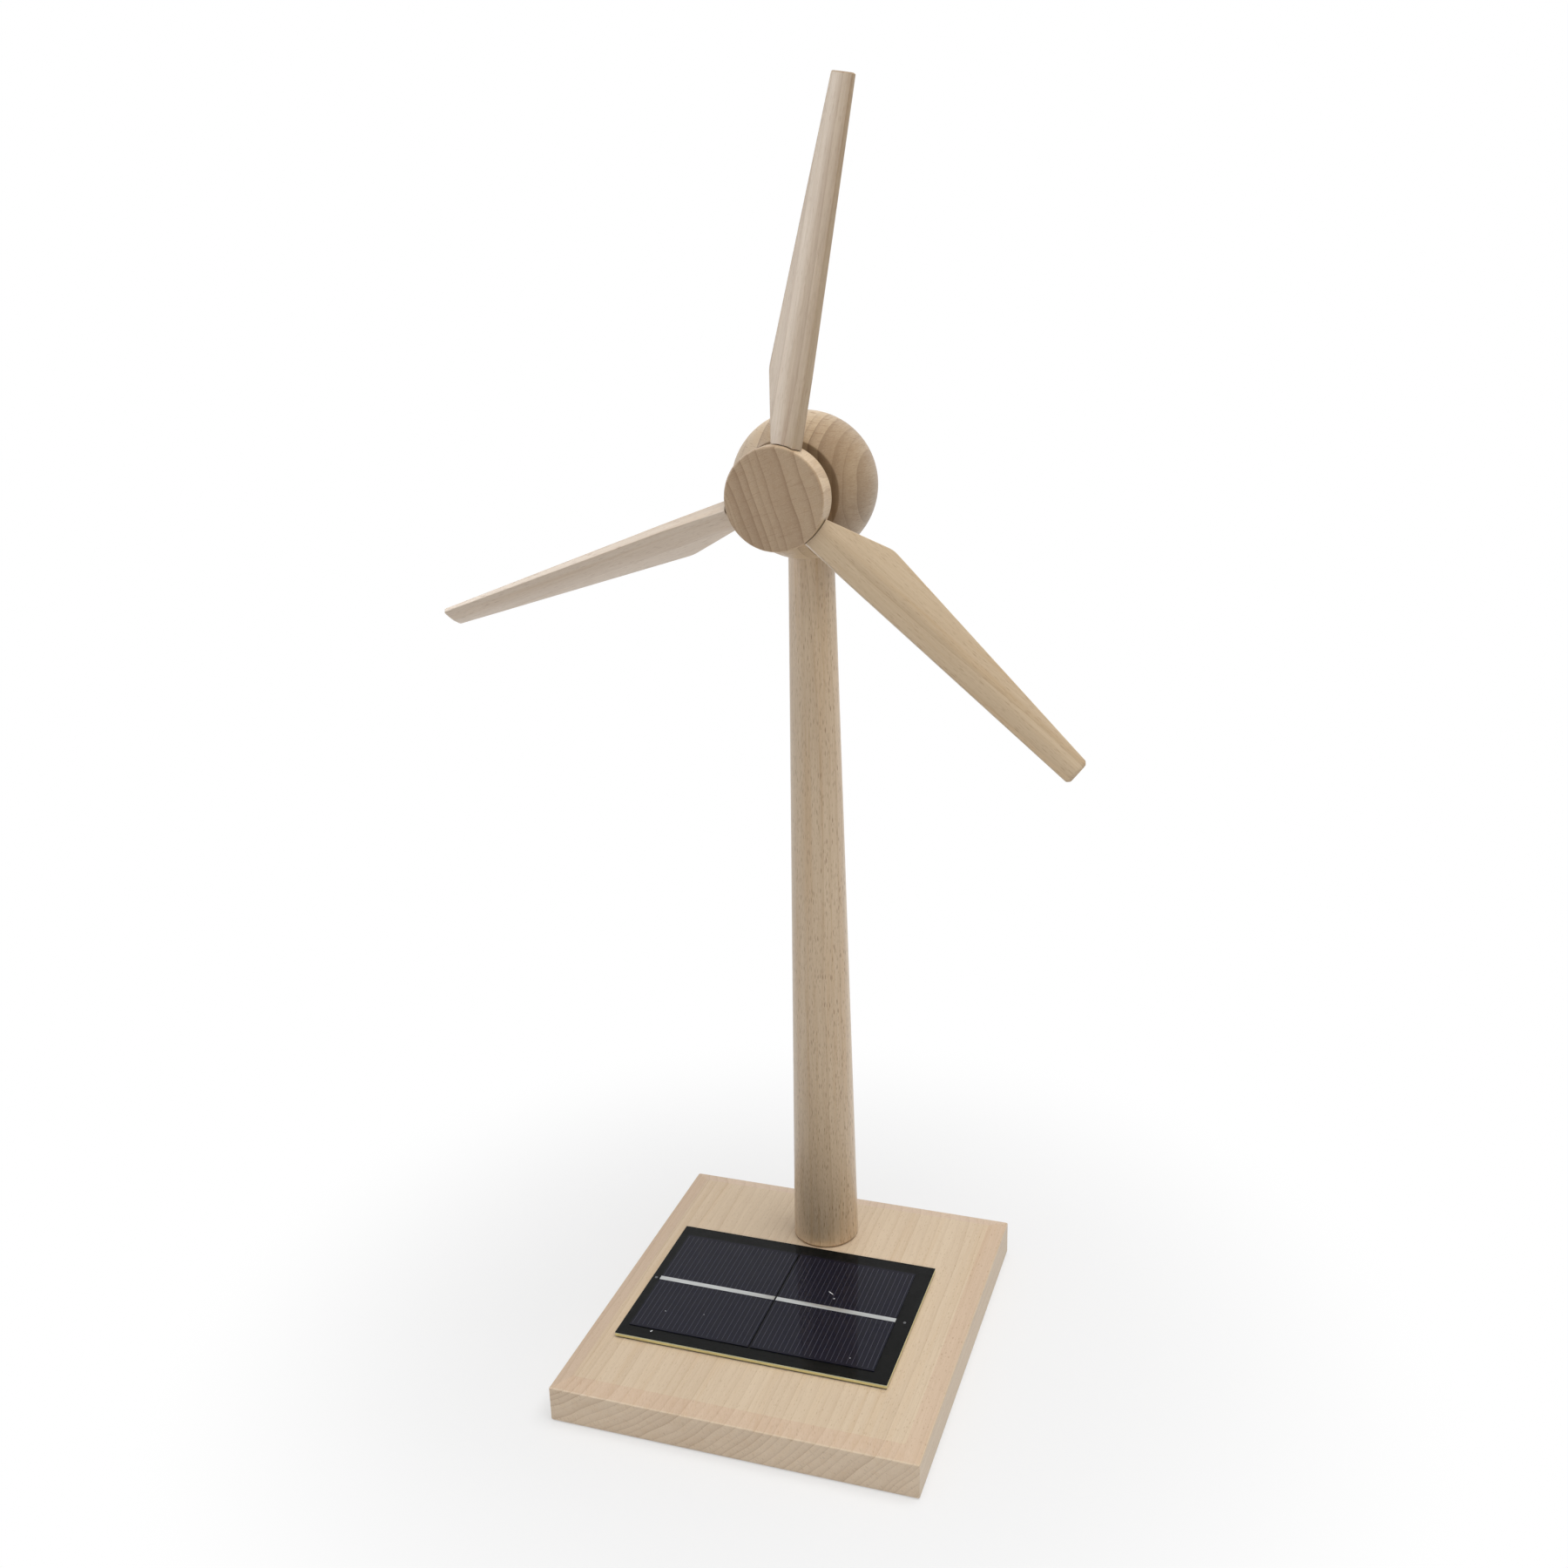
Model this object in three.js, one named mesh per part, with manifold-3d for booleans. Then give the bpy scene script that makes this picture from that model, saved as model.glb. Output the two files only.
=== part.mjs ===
// Desk-top solar turbine in beech: a bevelled board with a small solar panel, a tapered tower,
// a ball-shaped nacelle that holds a motor, and a three-bladed rotor.
// Millimetres, +Z up, +X right, the rotor faces -Y. Origin: centre of the board's underside.
import * as THREE from 'three';
import { mergeVertices } from 'three/addons/utils/BufferGeometryUtils.js';
import Module from 'manifold-3d';

const wasm = await Module();
wasm.setup();

// Clearances
const seatGap = 0.3;
const runningGap = 0.08;
const layerGap = 0.05;
const cutOverrun = 1;
const weldDistance = 0.0005;

// Board
const baseWidth = 120;
const baseDepth = 130;
const baseThickness = 14;
const bevelWidth = 6;
const bevelDrop = 1.6;
const baseEase = 0.6;

// Tower
const towerSide = -1;
const towerBack = 40;
const towerFootRadius = 11.4;
const towerTopRadius = 7.1;
const towerTopHeight = 266;
const towerFootEase = 0.7;
const tenonRadius = 6;
const tenonLength = 8.7;
const leadBoreRadius = 2.5;

// Lead groove in the board's underside, and the slip that closes it
const grooveWidth = 9;
const grooveDepth = 5;
const grooveRun = 24;
const slipThickness = 1.8;

// Nacelle ball and the bore for the motor
const ballRadius = 22.5;
const axisOverTower = 15.5;
const ballForward = 5.3;
const ballFlatRadius = 15.9;
const ballRimEase = 0.5;
const cavityRadius = 9;
const cavityDepth = 9;

// Motor
const canRadius = 12.2;
const canLength = 12.2;
const canWall = 0.9;
const canRecess = 1.53;
const canHoleRadius = 1;
const canHoleReach = 6.2;
const endCapThickness = 1.8;
const endCapSpigot = 1;
const endCapWall = 1.2;
const shaftRadius = 1;
const shaftTail = 0.5;
const frontBushRadius = 3;
const frontBushLength = 2.8;
const frontBushNose = 1.2;
const rearBushRadius = 1.9;
const magnetThickness = 2;
const magnetLength = 8;
const magnetArcShare = 0.72;
const armatureRadius = 8.5;
const armatureLength = 5;
const armatureCoreRadius = 3;
const poleNeckWidth = 3;
const poleShoeThickness = 1.3;
const poleArcShare = 0.52;
const windingWidth = 5.6;
const windingOverhang = 1;
const commutatorRadius = 2.2;
const commutatorLength = 2;
const commutatorSlotWidth = 0.35;
const commutatorSlotDepth = 0.5;
const brushThickness = 0.4;
const brushWidth = 2;
const brushTail = 2.6;
const brushLeafLength = 1.4;
const terminalReach = 7;

// Hub
const hubRadius = 15.4;
const hubThickness = 8.4;
const hubFrontEase = 0.45;
const hubBackEase = 0.4;
const hubStandOff = 5.47;
const hubBushRadius = 2.6;
const hubBushLength = 6;
const shaftFrontWood = 1.9;
const bladeSetBack = 4.7;

// Blades: the chord runs from the broad edge to the straight edge, the ridge lies on the front
const bladeKinkRadius = 35.5;
const bladeRootBroad = 4.7;
const bladeRootStraight = 4.7;
const bladeRootRidge = 0.5;
const bladeRootBroadFront = 1.9;
const bladeRootRidgeFront = 2.5;
const bladeRootStraightFront = 1.5;
const bladeRootBroadBack = 2.4;
const bladeRootStraightBack = 2.3;
const bladeKinkBroad = 11.2;
const bladeKinkStraight = 4.95;
const bladeKinkRidge = 2.35;
const bladeKinkBroadFront = 0.4;
const bladeKinkRidgeFront = 1.85;
const bladeKinkStraightFront = 0.7;
const bladeKinkBroadBack = 1.2;
const bladeKinkStraightBack = 2.2;
const bladeTipBroad = 2.95;
const bladeTipStraight = 5.4;
const bladeTipRidge = -0.6;
const bladeTipBroadFront = 0.35;
const bladeTipRidgeFront = 1.1;
const bladeTipStraightFront = 0.3;
const bladeTipBroadBack = 0.9;
const bladeTipStraightBack = 1.15;
const tipEaseShare = 0.6;
const bladeRootCut = 1.6;
const dowelRadius = 1.4;
const dowelLength = 15;
const bladePitchAngles = [29, 49.5, 26];
const bladeClockAngles = [10.3, 249.5, 130.3];
const bladeTipRadii = [115.8, 118.6, 118.7];
const bladeTipEases = [0.35, 0.55, 0.9];

// Solar panel
const panelWidth = 92;
const panelDepth = 63.5;
const panelSide = -3.4;
const panelBackEdge = 26;
const tapeThickness = 0.4;
const tapeInset = 2.4;
const boardThickness = 1.2;
const coatThickness = 0.7;
const coatEase = 0.25;
const cellThickness = 0.25;
const cellsWidth = 83.4;
const cellsDepth = 53;
const cellsLeftMargin = 3;
const cellsBackMargin = 5.3;
const cellGap = 0.6;
const ribbonWidth = 1.9;
const ribbonThickness = 0.1;
const solderRadius = 0.5;
const solderHeight = 0.25;
const solderReach = 3;
const padRadius = 1.4;
const padThickness = 0.3;
const leadHoleRadius = 4;

// Leads
const leadRadius = 0.65;
const leadSpacing = 1.9;
const padSpacing = 4.4;
const leadBend = 4;

// Facet counts
const roundSides = 48;
const smallSides = 24;
const arcSteps = 16;
const ballSteps = 16;
const leadSides = 8;
const leadSteps = 78;

// Finishes
const beechTop = { color: 0xd0b48e, roughness: 0.62, metalness: 0 };
const beechTower = { color: 0xb39a78, roughness: 0.6, metalness: 0 };
const beechBall = { color: 0xc0a27a, roughness: 0.6, metalness: 0 };
const beechHub = { color: 0xa98f6c, roughness: 0.62, metalness: 0 };
const beechBlade = { color: 0xc4ab8b, roughness: 0.6, metalness: 0 };
const beechPin = { color: 0xc9ad84, roughness: 0.7, metalness: 0 };
const steel = { color: 0x9a9c9e, roughness: 0.35, metalness: 1 };
const castMagnet = { color: 0x3a3a3c, roughness: 0.7, metalness: 0.2 };
const bronze = { color: 0xb08d57, roughness: 0.4, metalness: 1 };
const copper = { color: 0xb4652f, roughness: 0.35, metalness: 1 };
const whitePlastic = { color: 0xe6e4dc, roughness: 0.5, metalness: 0 };
const foam = { color: 0x2b2b2b, roughness: 0.95, metalness: 0 };
const laminate = { color: 0xb7a85e, roughness: 0.5, metalness: 0 };
const clearCoat = { color: 0x15161c, roughness: 0.12, metalness: 0 };
const silicon = { color: 0x2b2d3a, roughness: 0.3, metalness: 0.1 };
const tin = { color: 0xd8dade, roughness: 0.3, metalness: 1 };
const redLead = { color: 0xb5211d, roughness: 0.5, metalness: 0 };
const blackLead = { color: 0x1b1b1d, roughness: 0.5, metalness: 0 };

// Places that several pieces share
const panelFloor = baseThickness + tapeThickness;
const boardTop = panelFloor + boardThickness;
const panelTop = boardTop + coatThickness;
const panelBack = panelBackEdge - panelDepth / 2;
const cellsSide = panelSide - panelWidth / 2 + cellsLeftMargin + cellsWidth / 2;
const cellsBack = panelBackEdge - cellsBackMargin - cellsDepth / 2;
const cellWidth = (cellsWidth - cellGap) / 2;
const leadHoleBack = towerBack - grooveRun;
const ballBack = towerBack - ballForward;
const ballHeight = towerTopHeight + axisOverTower;
const ballFlat = Math.sqrt(ballRadius ** 2 - ballFlatRadius ** 2);
const motorBore = canRadius + seatGap;
const canFront = ballFlat - canRecess;
const canBack = canFront - canLength;
const capBack = canBack - endCapThickness;
const boreShoulder = capBack - seatGap;
const hubBack = ballFlat + hubStandOff;
const hubFront = hubBack + hubThickness;
const bladePlane = hubFront - bladeSetBack;
const shaftFront = hubFront - shaftFrontWood;
const shaftBack = capBack - shaftTail;
const socketDepth = axisOverTower - seatGap;
const brushInner = commutatorRadius + seatGap;
const commutatorBack = canBack + endCapSpigot;
const commutatorFront = commutatorBack + commutatorLength;
const terminalBack = capBack - brushTail;
const armatureMiddle = canFront - canWall - seatGap - magnetLength / 2;
const poleAngles = [0, 1, 2].map((k) => k * 2 * Math.PI / 3 + Math.PI / 2);
const poleShoeArc = poleArcShare * Math.PI;
const magnetArc = magnetArcShare * Math.PI;
const bladeRootRadius = hubRadius + seatGap;
const dowelInner = bladeRootRadius - dowelLength / 2;

// A geometry as a solid, with its shared vertices merged and its faces turned out
function toSolid(geometry) {
  const bare = geometry.clone();
  bare.deleteAttribute('normal');
  bare.deleteAttribute('uv');
  const merged = mergeVertices(bare, weldDistance);
  const corners = merged.attributes.position.array;
  const faces = [];
  for (let i = 0; i < merged.index.count; i += 3) {
    const [a, b, c] = [0, 1, 2].map((k) => merged.index.getX(i + k));
    if (a !== b && b !== c && c !== a) faces.push(a, b, c);
  }
  if (signedVolume(corners, faces) < 0) faces.reverse();
  const triVerts = Uint32Array.from(faces);
  return new wasm.Manifold(new wasm.Mesh({ numProp: 3, vertProperties: corners, triVerts }));
}

function signedVolume(corners, faces) {
  const point = (k) => new THREE.Vector3().fromArray(corners, 3 * faces[k]);
  let sum = 0;
  for (let i = 0; i < faces.length; i += 3) sum += point(i).dot(point(i + 1).cross(point(i + 2)));
  return sum / 6;
}

function toGeometry(solid) {
  const { vertProperties, triVerts } = solid.getMesh();
  const geometry = new THREE.BufferGeometry();
  geometry.setAttribute('position', new THREE.BufferAttribute(vertProperties, 3));
  geometry.setIndex(new THREE.BufferAttribute(triVerts, 1));
  geometry.computeVertexNormals();
  return geometry;
}

// A profile of [radius, height] points turned about +Z
function turned(points, sides = roundSides) {
  const profile = points.map(([radius, height]) => new THREE.Vector2(radius, height));
  return toSolid(new THREE.LatheGeometry(profile, sides).rotateX(Math.PI / 2));
}

// A profile of [radius, reach] points turned about the rotor's axis, with reach growing to the front
function turnedForward(points, sides = roundSides) {
  const profile = points.map(([radius, reach]) => new THREE.Vector2(radius, reach));
  return toSolid(new THREE.LatheGeometry(profile, sides).rotateX(Math.PI));
}

function tubeProfile(inner, outer, low, high) {
  return [[inner, low], [outer, low], [outer, high], [inner, high], [inner, low]];
}

function rodProfile(radius, low, high) {
  return [[0, low], [radius, low], [radius, high], [0, high]];
}

// A box given by its least and greatest corners
function block([x0, y0, z0], [x1, y1, z1]) {
  const box = new THREE.BoxGeometry(x1 - x0, y1 - y0, z1 - z0);
  return toSolid(box.translate((x0 + x1) / 2, (y0 + y1) / 2, (z0 + z1) / 2));
}

function extruded(shape, depth) {
  return new THREE.ExtrudeGeometry(shape, { depth, bevelEnabled: false, curveSegments: arcSteps });
}

// A shape in the XY plane raised from low to high
function raised(shape, low, high) {
  return toSolid(extruded(shape, high - low).translate(0, 0, low));
}

// A shape in the rotor's plane, as seen from the front, drawn out along the rotor's axis
function raisedForward(shape, low, high) {
  return toSolid(extruded(shape, high - low).translate(0, 0, low).rotateX(Math.PI / 2));
}

// A skin over rings of equally many points, closed by a fan at each end
function lofted(rings) {
  const count = rings[0].length;
  const corners = rings.flat(2);
  const faces = [];
  for (let r = 0; r + 1 < rings.length; r++) {
    for (let i = 0; i < count; i++) {
      const [a, b] = [r * count + i, r * count + (i + 1) % count];
      faces.push(a, b, b + count, a, b + count, a + count);
    }
  }
  const last = (rings.length - 1) * count;
  for (let i = 1; i + 1 < count; i++) faces.push(0, i + 1, i, last, last + i, last + i + 1);
  const geometry = new THREE.BufferGeometry();
  geometry.setAttribute('position', new THREE.Float32BufferAttribute(corners, 3));
  geometry.setIndex(faces);
  return toSolid(geometry);
}

function polygon(points) {
  return new THREE.Shape(points.map(([x, y]) => new THREE.Vector2(x, y)));
}

function rectangleRing(width, depth, height) {
  const [x, y] = [width / 2, depth / 2];
  return [[-x, -y, height], [x, -y, height], [x, y, height], [-x, y, height]];
}

// An outline with straight sides along Y and round ends
function slotShape(width, fromY, toY) {
  const radius = width / 2;
  const shape = new THREE.Shape();
  shape.absarc(0, toY, radius, 0, Math.PI, false);
  shape.absarc(0, fromY, radius, Math.PI, 2 * Math.PI, false);
  shape.closePath();
  return shape;
}

function baseBoard() {
  const slab = lofted([
    rectangleRing(baseWidth - 2 * baseEase, baseDepth - 2 * baseEase, 0),
    rectangleRing(baseWidth, baseDepth, baseEase),
    rectangleRing(baseWidth, baseDepth, baseThickness - bevelDrop),
    rectangleRing(baseWidth - 2 * bevelWidth, baseDepth - 2 * bevelWidth, baseThickness),
  ]);
  const groove = raised(slotShape(grooveWidth, leadHoleBack, towerBack), -cutOverrun, grooveDepth);
  const [holeLow, holeHigh] = [grooveDepth - layerGap, baseThickness + cutOverrun];
  const mortise = turned(rodProfile(tenonRadius + seatGap, holeLow, holeHigh));
  const leadHole = turned(rodProfile(leadHoleRadius, holeLow, holeHigh));
  return slab
    .subtract(groove.translate([towerSide, 0, 0]))
    .subtract(mortise.translate([towerSide, towerBack, 0]))
    .subtract(leadHole.translate([towerSide, leadHoleBack, 0]));
}

function grooveCover() {
  const slip = raised(slotShape(grooveWidth - 2 * seatGap, leadHoleBack, towerBack), 0, slipThickness);
  return slip.translate([towerSide, 0, 0]);
}

function tower() {
  const shoulder = baseThickness;
  const tenonEnd = baseThickness - tenonLength;
  return turned([
    [leadBoreRadius, tenonEnd],
    [tenonRadius, tenonEnd],
    [tenonRadius, shoulder],
    [towerFootRadius - towerFootEase, shoulder],
    [towerFootRadius, shoulder + towerFootEase],
    [towerTopRadius, towerTopHeight],
    [leadBoreRadius, towerTopHeight],
    [leadBoreRadius, tenonEnd],
  ]);
}

// The ball is turned about the rotor's axis, flat in front, with a stepped bore for the motor
function nacelleBall() {
  const rimAngle = Math.acos(ballFlat / ballRadius) + ballRimEase / ballRadius;
  const profile = [];
  for (let i = 0; i <= ballSteps; i++) {
    const angle = Math.PI + (rimAngle - Math.PI) * i / ballSteps;
    profile.push([i === 0 ? 0 : ballRadius * Math.sin(angle), ballRadius * Math.cos(angle)]);
  }
  const cavityBack = boreShoulder - cavityDepth;
  profile.push([ballFlatRadius - ballRimEase, ballFlat], [motorBore, ballFlat]);
  profile.push([motorBore, boreShoulder], [cavityRadius, boreShoulder]);
  profile.push([cavityRadius, cavityBack], [0, cavityBack]);
  const socket = turned(rodProfile(towerTopRadius + seatGap, -ballRadius - cutOverrun, -socketDepth));
  const leadHoleProfile = rodProfile(leadBoreRadius, -socketDepth - layerGap, -cavityRadius / 2);
  const leadHole = turned(leadHoleProfile, smallSides);
  return turnedForward(profile)
    .subtract(socket.translate([0, ballForward, 0]))
    .subtract(leadHole.translate([0, ballForward, 0]));
}

// The can is drawn in one piece, with two fixing holes in its front
function motorCan() {
  const hole = frontBushRadius + seatGap;
  const can = turnedForward([
    [canRadius - canWall, canBack],
    [canRadius, canBack],
    [canRadius, canFront],
    [hole, canFront],
    [hole, canFront - canWall],
    [canRadius - canWall, canFront - canWall],
    [canRadius - canWall, canBack],
  ]);
  const fixingProfile = rodProfile(canHoleRadius, canFront - canWall - cutOverrun, canFront + cutOverrun);
  const fixing = turnedForward(fixingProfile, smallSides);
  return can
    .subtract(fixing.translate([0, 0, canHoleReach]))
    .subtract(fixing.translate([0, 0, -canHoleReach]));
}

function motorEndCap() {
  const hole = rearBushRadius + seatGap;
  const spigotRadius = canRadius - canWall - seatGap;
  const spigotFront = canBack + endCapSpigot;
  const cap = turnedForward([
    [hole, capBack],
    [canRadius, capBack],
    [canRadius, canBack - layerGap],
    [spigotRadius, canBack - layerGap],
    [spigotRadius, spigotFront],
    [spigotRadius - endCapWall, spigotFront],
    [spigotRadius - endCapWall, canBack],
    [hole, canBack],
    [hole, capBack],
  ]);
  const slot = block(
    [terminalReach - seatGap, -canFront, -brushWidth / 2 - seatGap],
    [terminalReach + brushThickness + seatGap, cutOverrun - capBack, brushWidth / 2 + seatGap],
  );
  return cap.subtract(slot).subtract(slot.mirror([1, 0, 0]));
}

// A leaf by the commutator, a bridge outwards and a tail that goes out through the cap
function brush(side) {
  const [leafInner, leafOuter] = [brushInner, brushInner + brushThickness];
  const [tailInner, tailOuter] = [terminalReach, terminalReach + brushThickness];
  const bridgeBack = canBack + seatGap;
  const bridgeFront = bridgeBack + brushThickness;
  const shape = polygon([
    [leafInner, bridgeBack],
    [tailInner, bridgeBack],
    [tailInner, terminalBack],
    [tailOuter, terminalBack],
    [tailOuter, bridgeFront],
    [leafOuter, bridgeFront],
    [leafOuter, bridgeFront + brushLeafLength],
    [leafInner, bridgeFront + brushLeafLength],
  ]);
  const strip = raised(shape, -brushWidth / 2, brushWidth / 2).mirror([0, 1, 0]);
  return side > 0 ? strip : strip.mirror([1, 0, 0]);
}

function frontBearing() {
  const nose = canFront + frontBushNose;
  const profile = tubeProfile(shaftRadius + runningGap, frontBushRadius, nose - frontBushLength, nose);
  return turnedForward(profile, smallSides);
}

function rearBearing() {
  return turnedForward(tubeProfile(shaftRadius + runningGap, rearBushRadius, capBack, canBack), smallSides);
}

// One of the two arcs on the can's wall, left and right
function magnet(side) {
  const outer = canRadius - canWall - seatGap;
  const middle = side > 0 ? 0 : Math.PI;
  const shape = new THREE.Shape();
  shape.absarc(0, 0, outer, middle - magnetArc / 2, middle + magnetArc / 2, false);
  shape.absarc(0, 0, outer - magnetThickness, middle + magnetArc / 2, middle - magnetArc / 2, true);
  shape.closePath();
  const front = canFront - canWall - seatGap;
  return raisedForward(shape, front - magnetLength, front);
}

// A core with three necks, each ending in a curved shoe
function armatureCore() {
  const [back, front] = [armatureMiddle - armatureLength / 2, armatureMiddle + armatureLength / 2];
  const shoeInner = armatureRadius - poleShoeThickness;
  let core = turnedForward(rodProfile(armatureCoreRadius, back, front), smallSides);
  for (const angle of poleAngles) {
    const shoe = new THREE.Shape();
    shoe.absarc(0, 0, armatureRadius, angle - poleShoeArc / 2, angle + poleShoeArc / 2, false);
    shoe.absarc(0, 0, shoeInner, angle + poleShoeArc / 2, angle - poleShoeArc / 2, true);
    shoe.closePath();
    core = core.add(raisedForward(shoe, back, front)).add(aroundPole(
      block([0, -front, -poleNeckWidth / 2], [shoeInner + poleShoeThickness / 2, -back, poleNeckWidth / 2]),
      angle,
    ));
  }
  const bore = rodProfile(shaftRadius + seatGap, back - cutOverrun, front + cutOverrun);
  return core.subtract(turnedForward(bore, smallSides));
}

// Turns a solid drawn along +X to the pole's angle, counted from +X towards +Z
function aroundPole(solid, angle) {
  return solid.rotate([0, -THREE.MathUtils.radToDeg(angle), 0]);
}

// A coil wound round one neck
function winding(angle) {
  const inner = armatureCoreRadius + seatGap;
  const shoeInner = armatureRadius - poleShoeThickness - seatGap;
  const outer = Math.sqrt(shoeInner ** 2 - (windingWidth / 2) ** 2);
  const [bore, reach] = [armatureLength / 2 + seatGap, armatureLength / 2 + seatGap + windingOverhang];
  const neck = poleNeckWidth / 2 + seatGap;
  const coil = block(
    [inner, -armatureMiddle - reach, -windingWidth / 2],
    [outer, -armatureMiddle + reach, windingWidth / 2],
  );
  const opening = block(
    [inner - cutOverrun, -armatureMiddle - bore, -neck],
    [outer + cutOverrun, -armatureMiddle + bore, neck],
  );
  return aroundPole(coil.subtract(opening), angle);
}

// A ring with three slots, one between each two poles
function commutator() {
  const profile = tubeProfile(shaftRadius + seatGap, commutatorRadius, commutatorBack, commutatorFront);
  const slot = block(
    [commutatorRadius - commutatorSlotDepth, -commutatorFront - cutOverrun, -commutatorSlotWidth / 2],
    [commutatorRadius + cutOverrun, cutOverrun - commutatorBack, commutatorSlotWidth / 2],
  );
  return poleAngles.reduce(
    (ring, angle) => ring.subtract(aroundPole(slot, angle + Math.PI)),
    turnedForward(profile, smallSides),
  );
}

function motorShaft() {
  return turnedForward(rodProfile(shaftRadius, shaftBack, shaftFront), smallSides);
}

function hubBush() {
  return turnedForward(
    tubeProfile(shaftRadius + runningGap, hubBushRadius, hubBack, hubBack + hubBushLength),
    smallSides,
  );
}

// A disc with a blind bore for the bush and three holes in its rim for the dowels
function hubDisc() {
  const boreEnd = shaftFront + seatGap;
  const disc = turnedForward([
    [hubBushRadius + seatGap, hubBack],
    [hubRadius - hubBackEase, hubBack],
    [hubRadius, hubBack + hubBackEase],
    [hubRadius, hubFront - hubFrontEase],
    [hubRadius - hubFrontEase, hubFront],
    [0, hubFront],
    [0, boreEnd],
    [hubBushRadius + seatGap, boreEnd],
    [hubBushRadius + seatGap, hubBack],
  ]);
  const holeProfile = rodProfile(dowelRadius + seatGap, dowelInner - seatGap, hubRadius + cutOverrun);
  const hole = turned(holeProfile, smallSides);
  return bladeClockAngles.reduce(
    (body, clock) => body.subtract(hole.translate([0, -bladePlane, 0]).rotate([0, clock, 0])),
    disc,
  );
}

// A blade along +Z, its chord along X from the broad edge to the straight edge, its front towards -Y.
// Each ring goes round the section: broad edge, ridge, straight edge and the two edges of the back.
function bladeBody(tipRadius, tipEase) {
  const root = bladeRootRadius - bladeRootCut;
  const shoulder = tipRadius - tipEase;
  return lofted([
    [
      [-bladeRootBroad, -bladeRootBroadFront, root],
      [-bladeRootRidge, -bladeRootRidgeFront, root],
      [bladeRootStraight, -bladeRootStraightFront, root],
      [bladeRootStraight, bladeRootStraightBack, root],
      [-bladeRootBroad, bladeRootBroadBack, root],
    ],
    [
      [-bladeKinkBroad, -bladeKinkBroadFront, bladeKinkRadius],
      [-bladeKinkRidge, -bladeKinkRidgeFront, bladeKinkRadius],
      [bladeKinkStraight, -bladeKinkStraightFront, bladeKinkRadius],
      [bladeKinkStraight, bladeKinkStraightBack, bladeKinkRadius],
      [-bladeKinkBroad, bladeKinkBroadBack, bladeKinkRadius],
    ],
    [
      [-bladeTipBroad, -bladeTipBroadFront, shoulder],
      [-bladeTipRidge, -bladeTipRidgeFront, shoulder],
      [bladeTipStraight, -bladeTipStraightFront, shoulder],
      [bladeTipStraight, bladeTipStraightBack, shoulder],
      [-bladeTipBroad, bladeTipBroadBack, shoulder],
    ],
    [
      [tipEase - bladeTipBroad, -bladeTipBroadFront * tipEaseShare, tipRadius],
      [-bladeTipRidge, -bladeTipRidgeFront * tipEaseShare, tipRadius],
      [bladeTipStraight - tipEase, -bladeTipStraightFront * tipEaseShare, tipRadius],
      [bladeTipStraight - tipEase, bladeTipStraightBack * tipEaseShare, tipRadius],
      [tipEase - bladeTipBroad, bladeTipBroadBack * tipEaseShare, tipRadius],
    ],
  ]);
}

// The root is hollowed to lie on the hub's rim, whatever the pitch, and drilled for its dowel
function blade(pitch, tipRadius, tipEase) {
  const rim = turnedForward(rodProfile(bladeRootRadius, -hubRadius, hubRadius)).rotate([0, 0, pitch]);
  const holeEnd = dowelInner + dowelLength + seatGap;
  const hole = turned(rodProfile(dowelRadius + seatGap, hubRadius - cutOverrun, holeEnd), smallSides);
  return bladeBody(tipRadius, tipEase).subtract(rim).subtract(hole);
}

function dowel() {
  return turned(rodProfile(dowelRadius, dowelInner, dowelInner + dowelLength), smallSides);
}

function panelTape() {
  const [x, y] = [panelWidth / 2 - tapeInset, panelDepth / 2 - tapeInset];
  const sheet = block(
    [panelSide - x, panelBack - y, baseThickness],
    [panelSide + x, panelBack + y, panelFloor],
  );
  const hole = turned(rodProfile(leadHoleRadius, baseThickness - cutOverrun, panelFloor + cutOverrun));
  return sheet.subtract(hole.translate([towerSide, leadHoleBack, 0]));
}

function panelBoard() {
  const [x, y] = [panelWidth / 2, panelDepth / 2];
  return block([panelSide - x, panelBack - y, panelFloor], [panelSide + x, panelBack + y, boardTop]);
}

function cellAt(side) {
  const near = cellGap / 2;
  const [low, high] = side > 0 ? [near, near + cellWidth] : [-near - cellWidth, -near];
  return block(
    [cellsSide + low, cellsBack - cellsDepth / 2, boardTop],
    [cellsSide + high, cellsBack + cellsDepth / 2, boardTop + cellThickness],
  );
}

// Each ribbon lies along the middle of its cell
function ribbonAt(side, slack) {
  const near = cellGap / 2 - slack;
  const far = cellGap / 2 + cellWidth + slack;
  const low = boardTop + cellThickness;
  return block(
    [cellsSide + (side > 0 ? near : -far), cellsBack - ribbonWidth / 2 - slack, low],
    [cellsSide + (side > 0 ? far : -near), cellsBack + ribbonWidth / 2 + slack, low + ribbonThickness],
  );
}

// A drop of solder on the board beyond each ribbon's outer end
function solderAt(side, slack) {
  const profile = rodProfile(solderRadius + slack, boardTop - slack, boardTop + solderHeight + slack);
  const reach = side > 0 ? solderReach : cellsLeftMargin / 2;
  const place = cellsSide + side * (cellsWidth / 2 + reach);
  return turned(profile, smallSides).translate([place, cellsBack, 0]);
}

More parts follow.
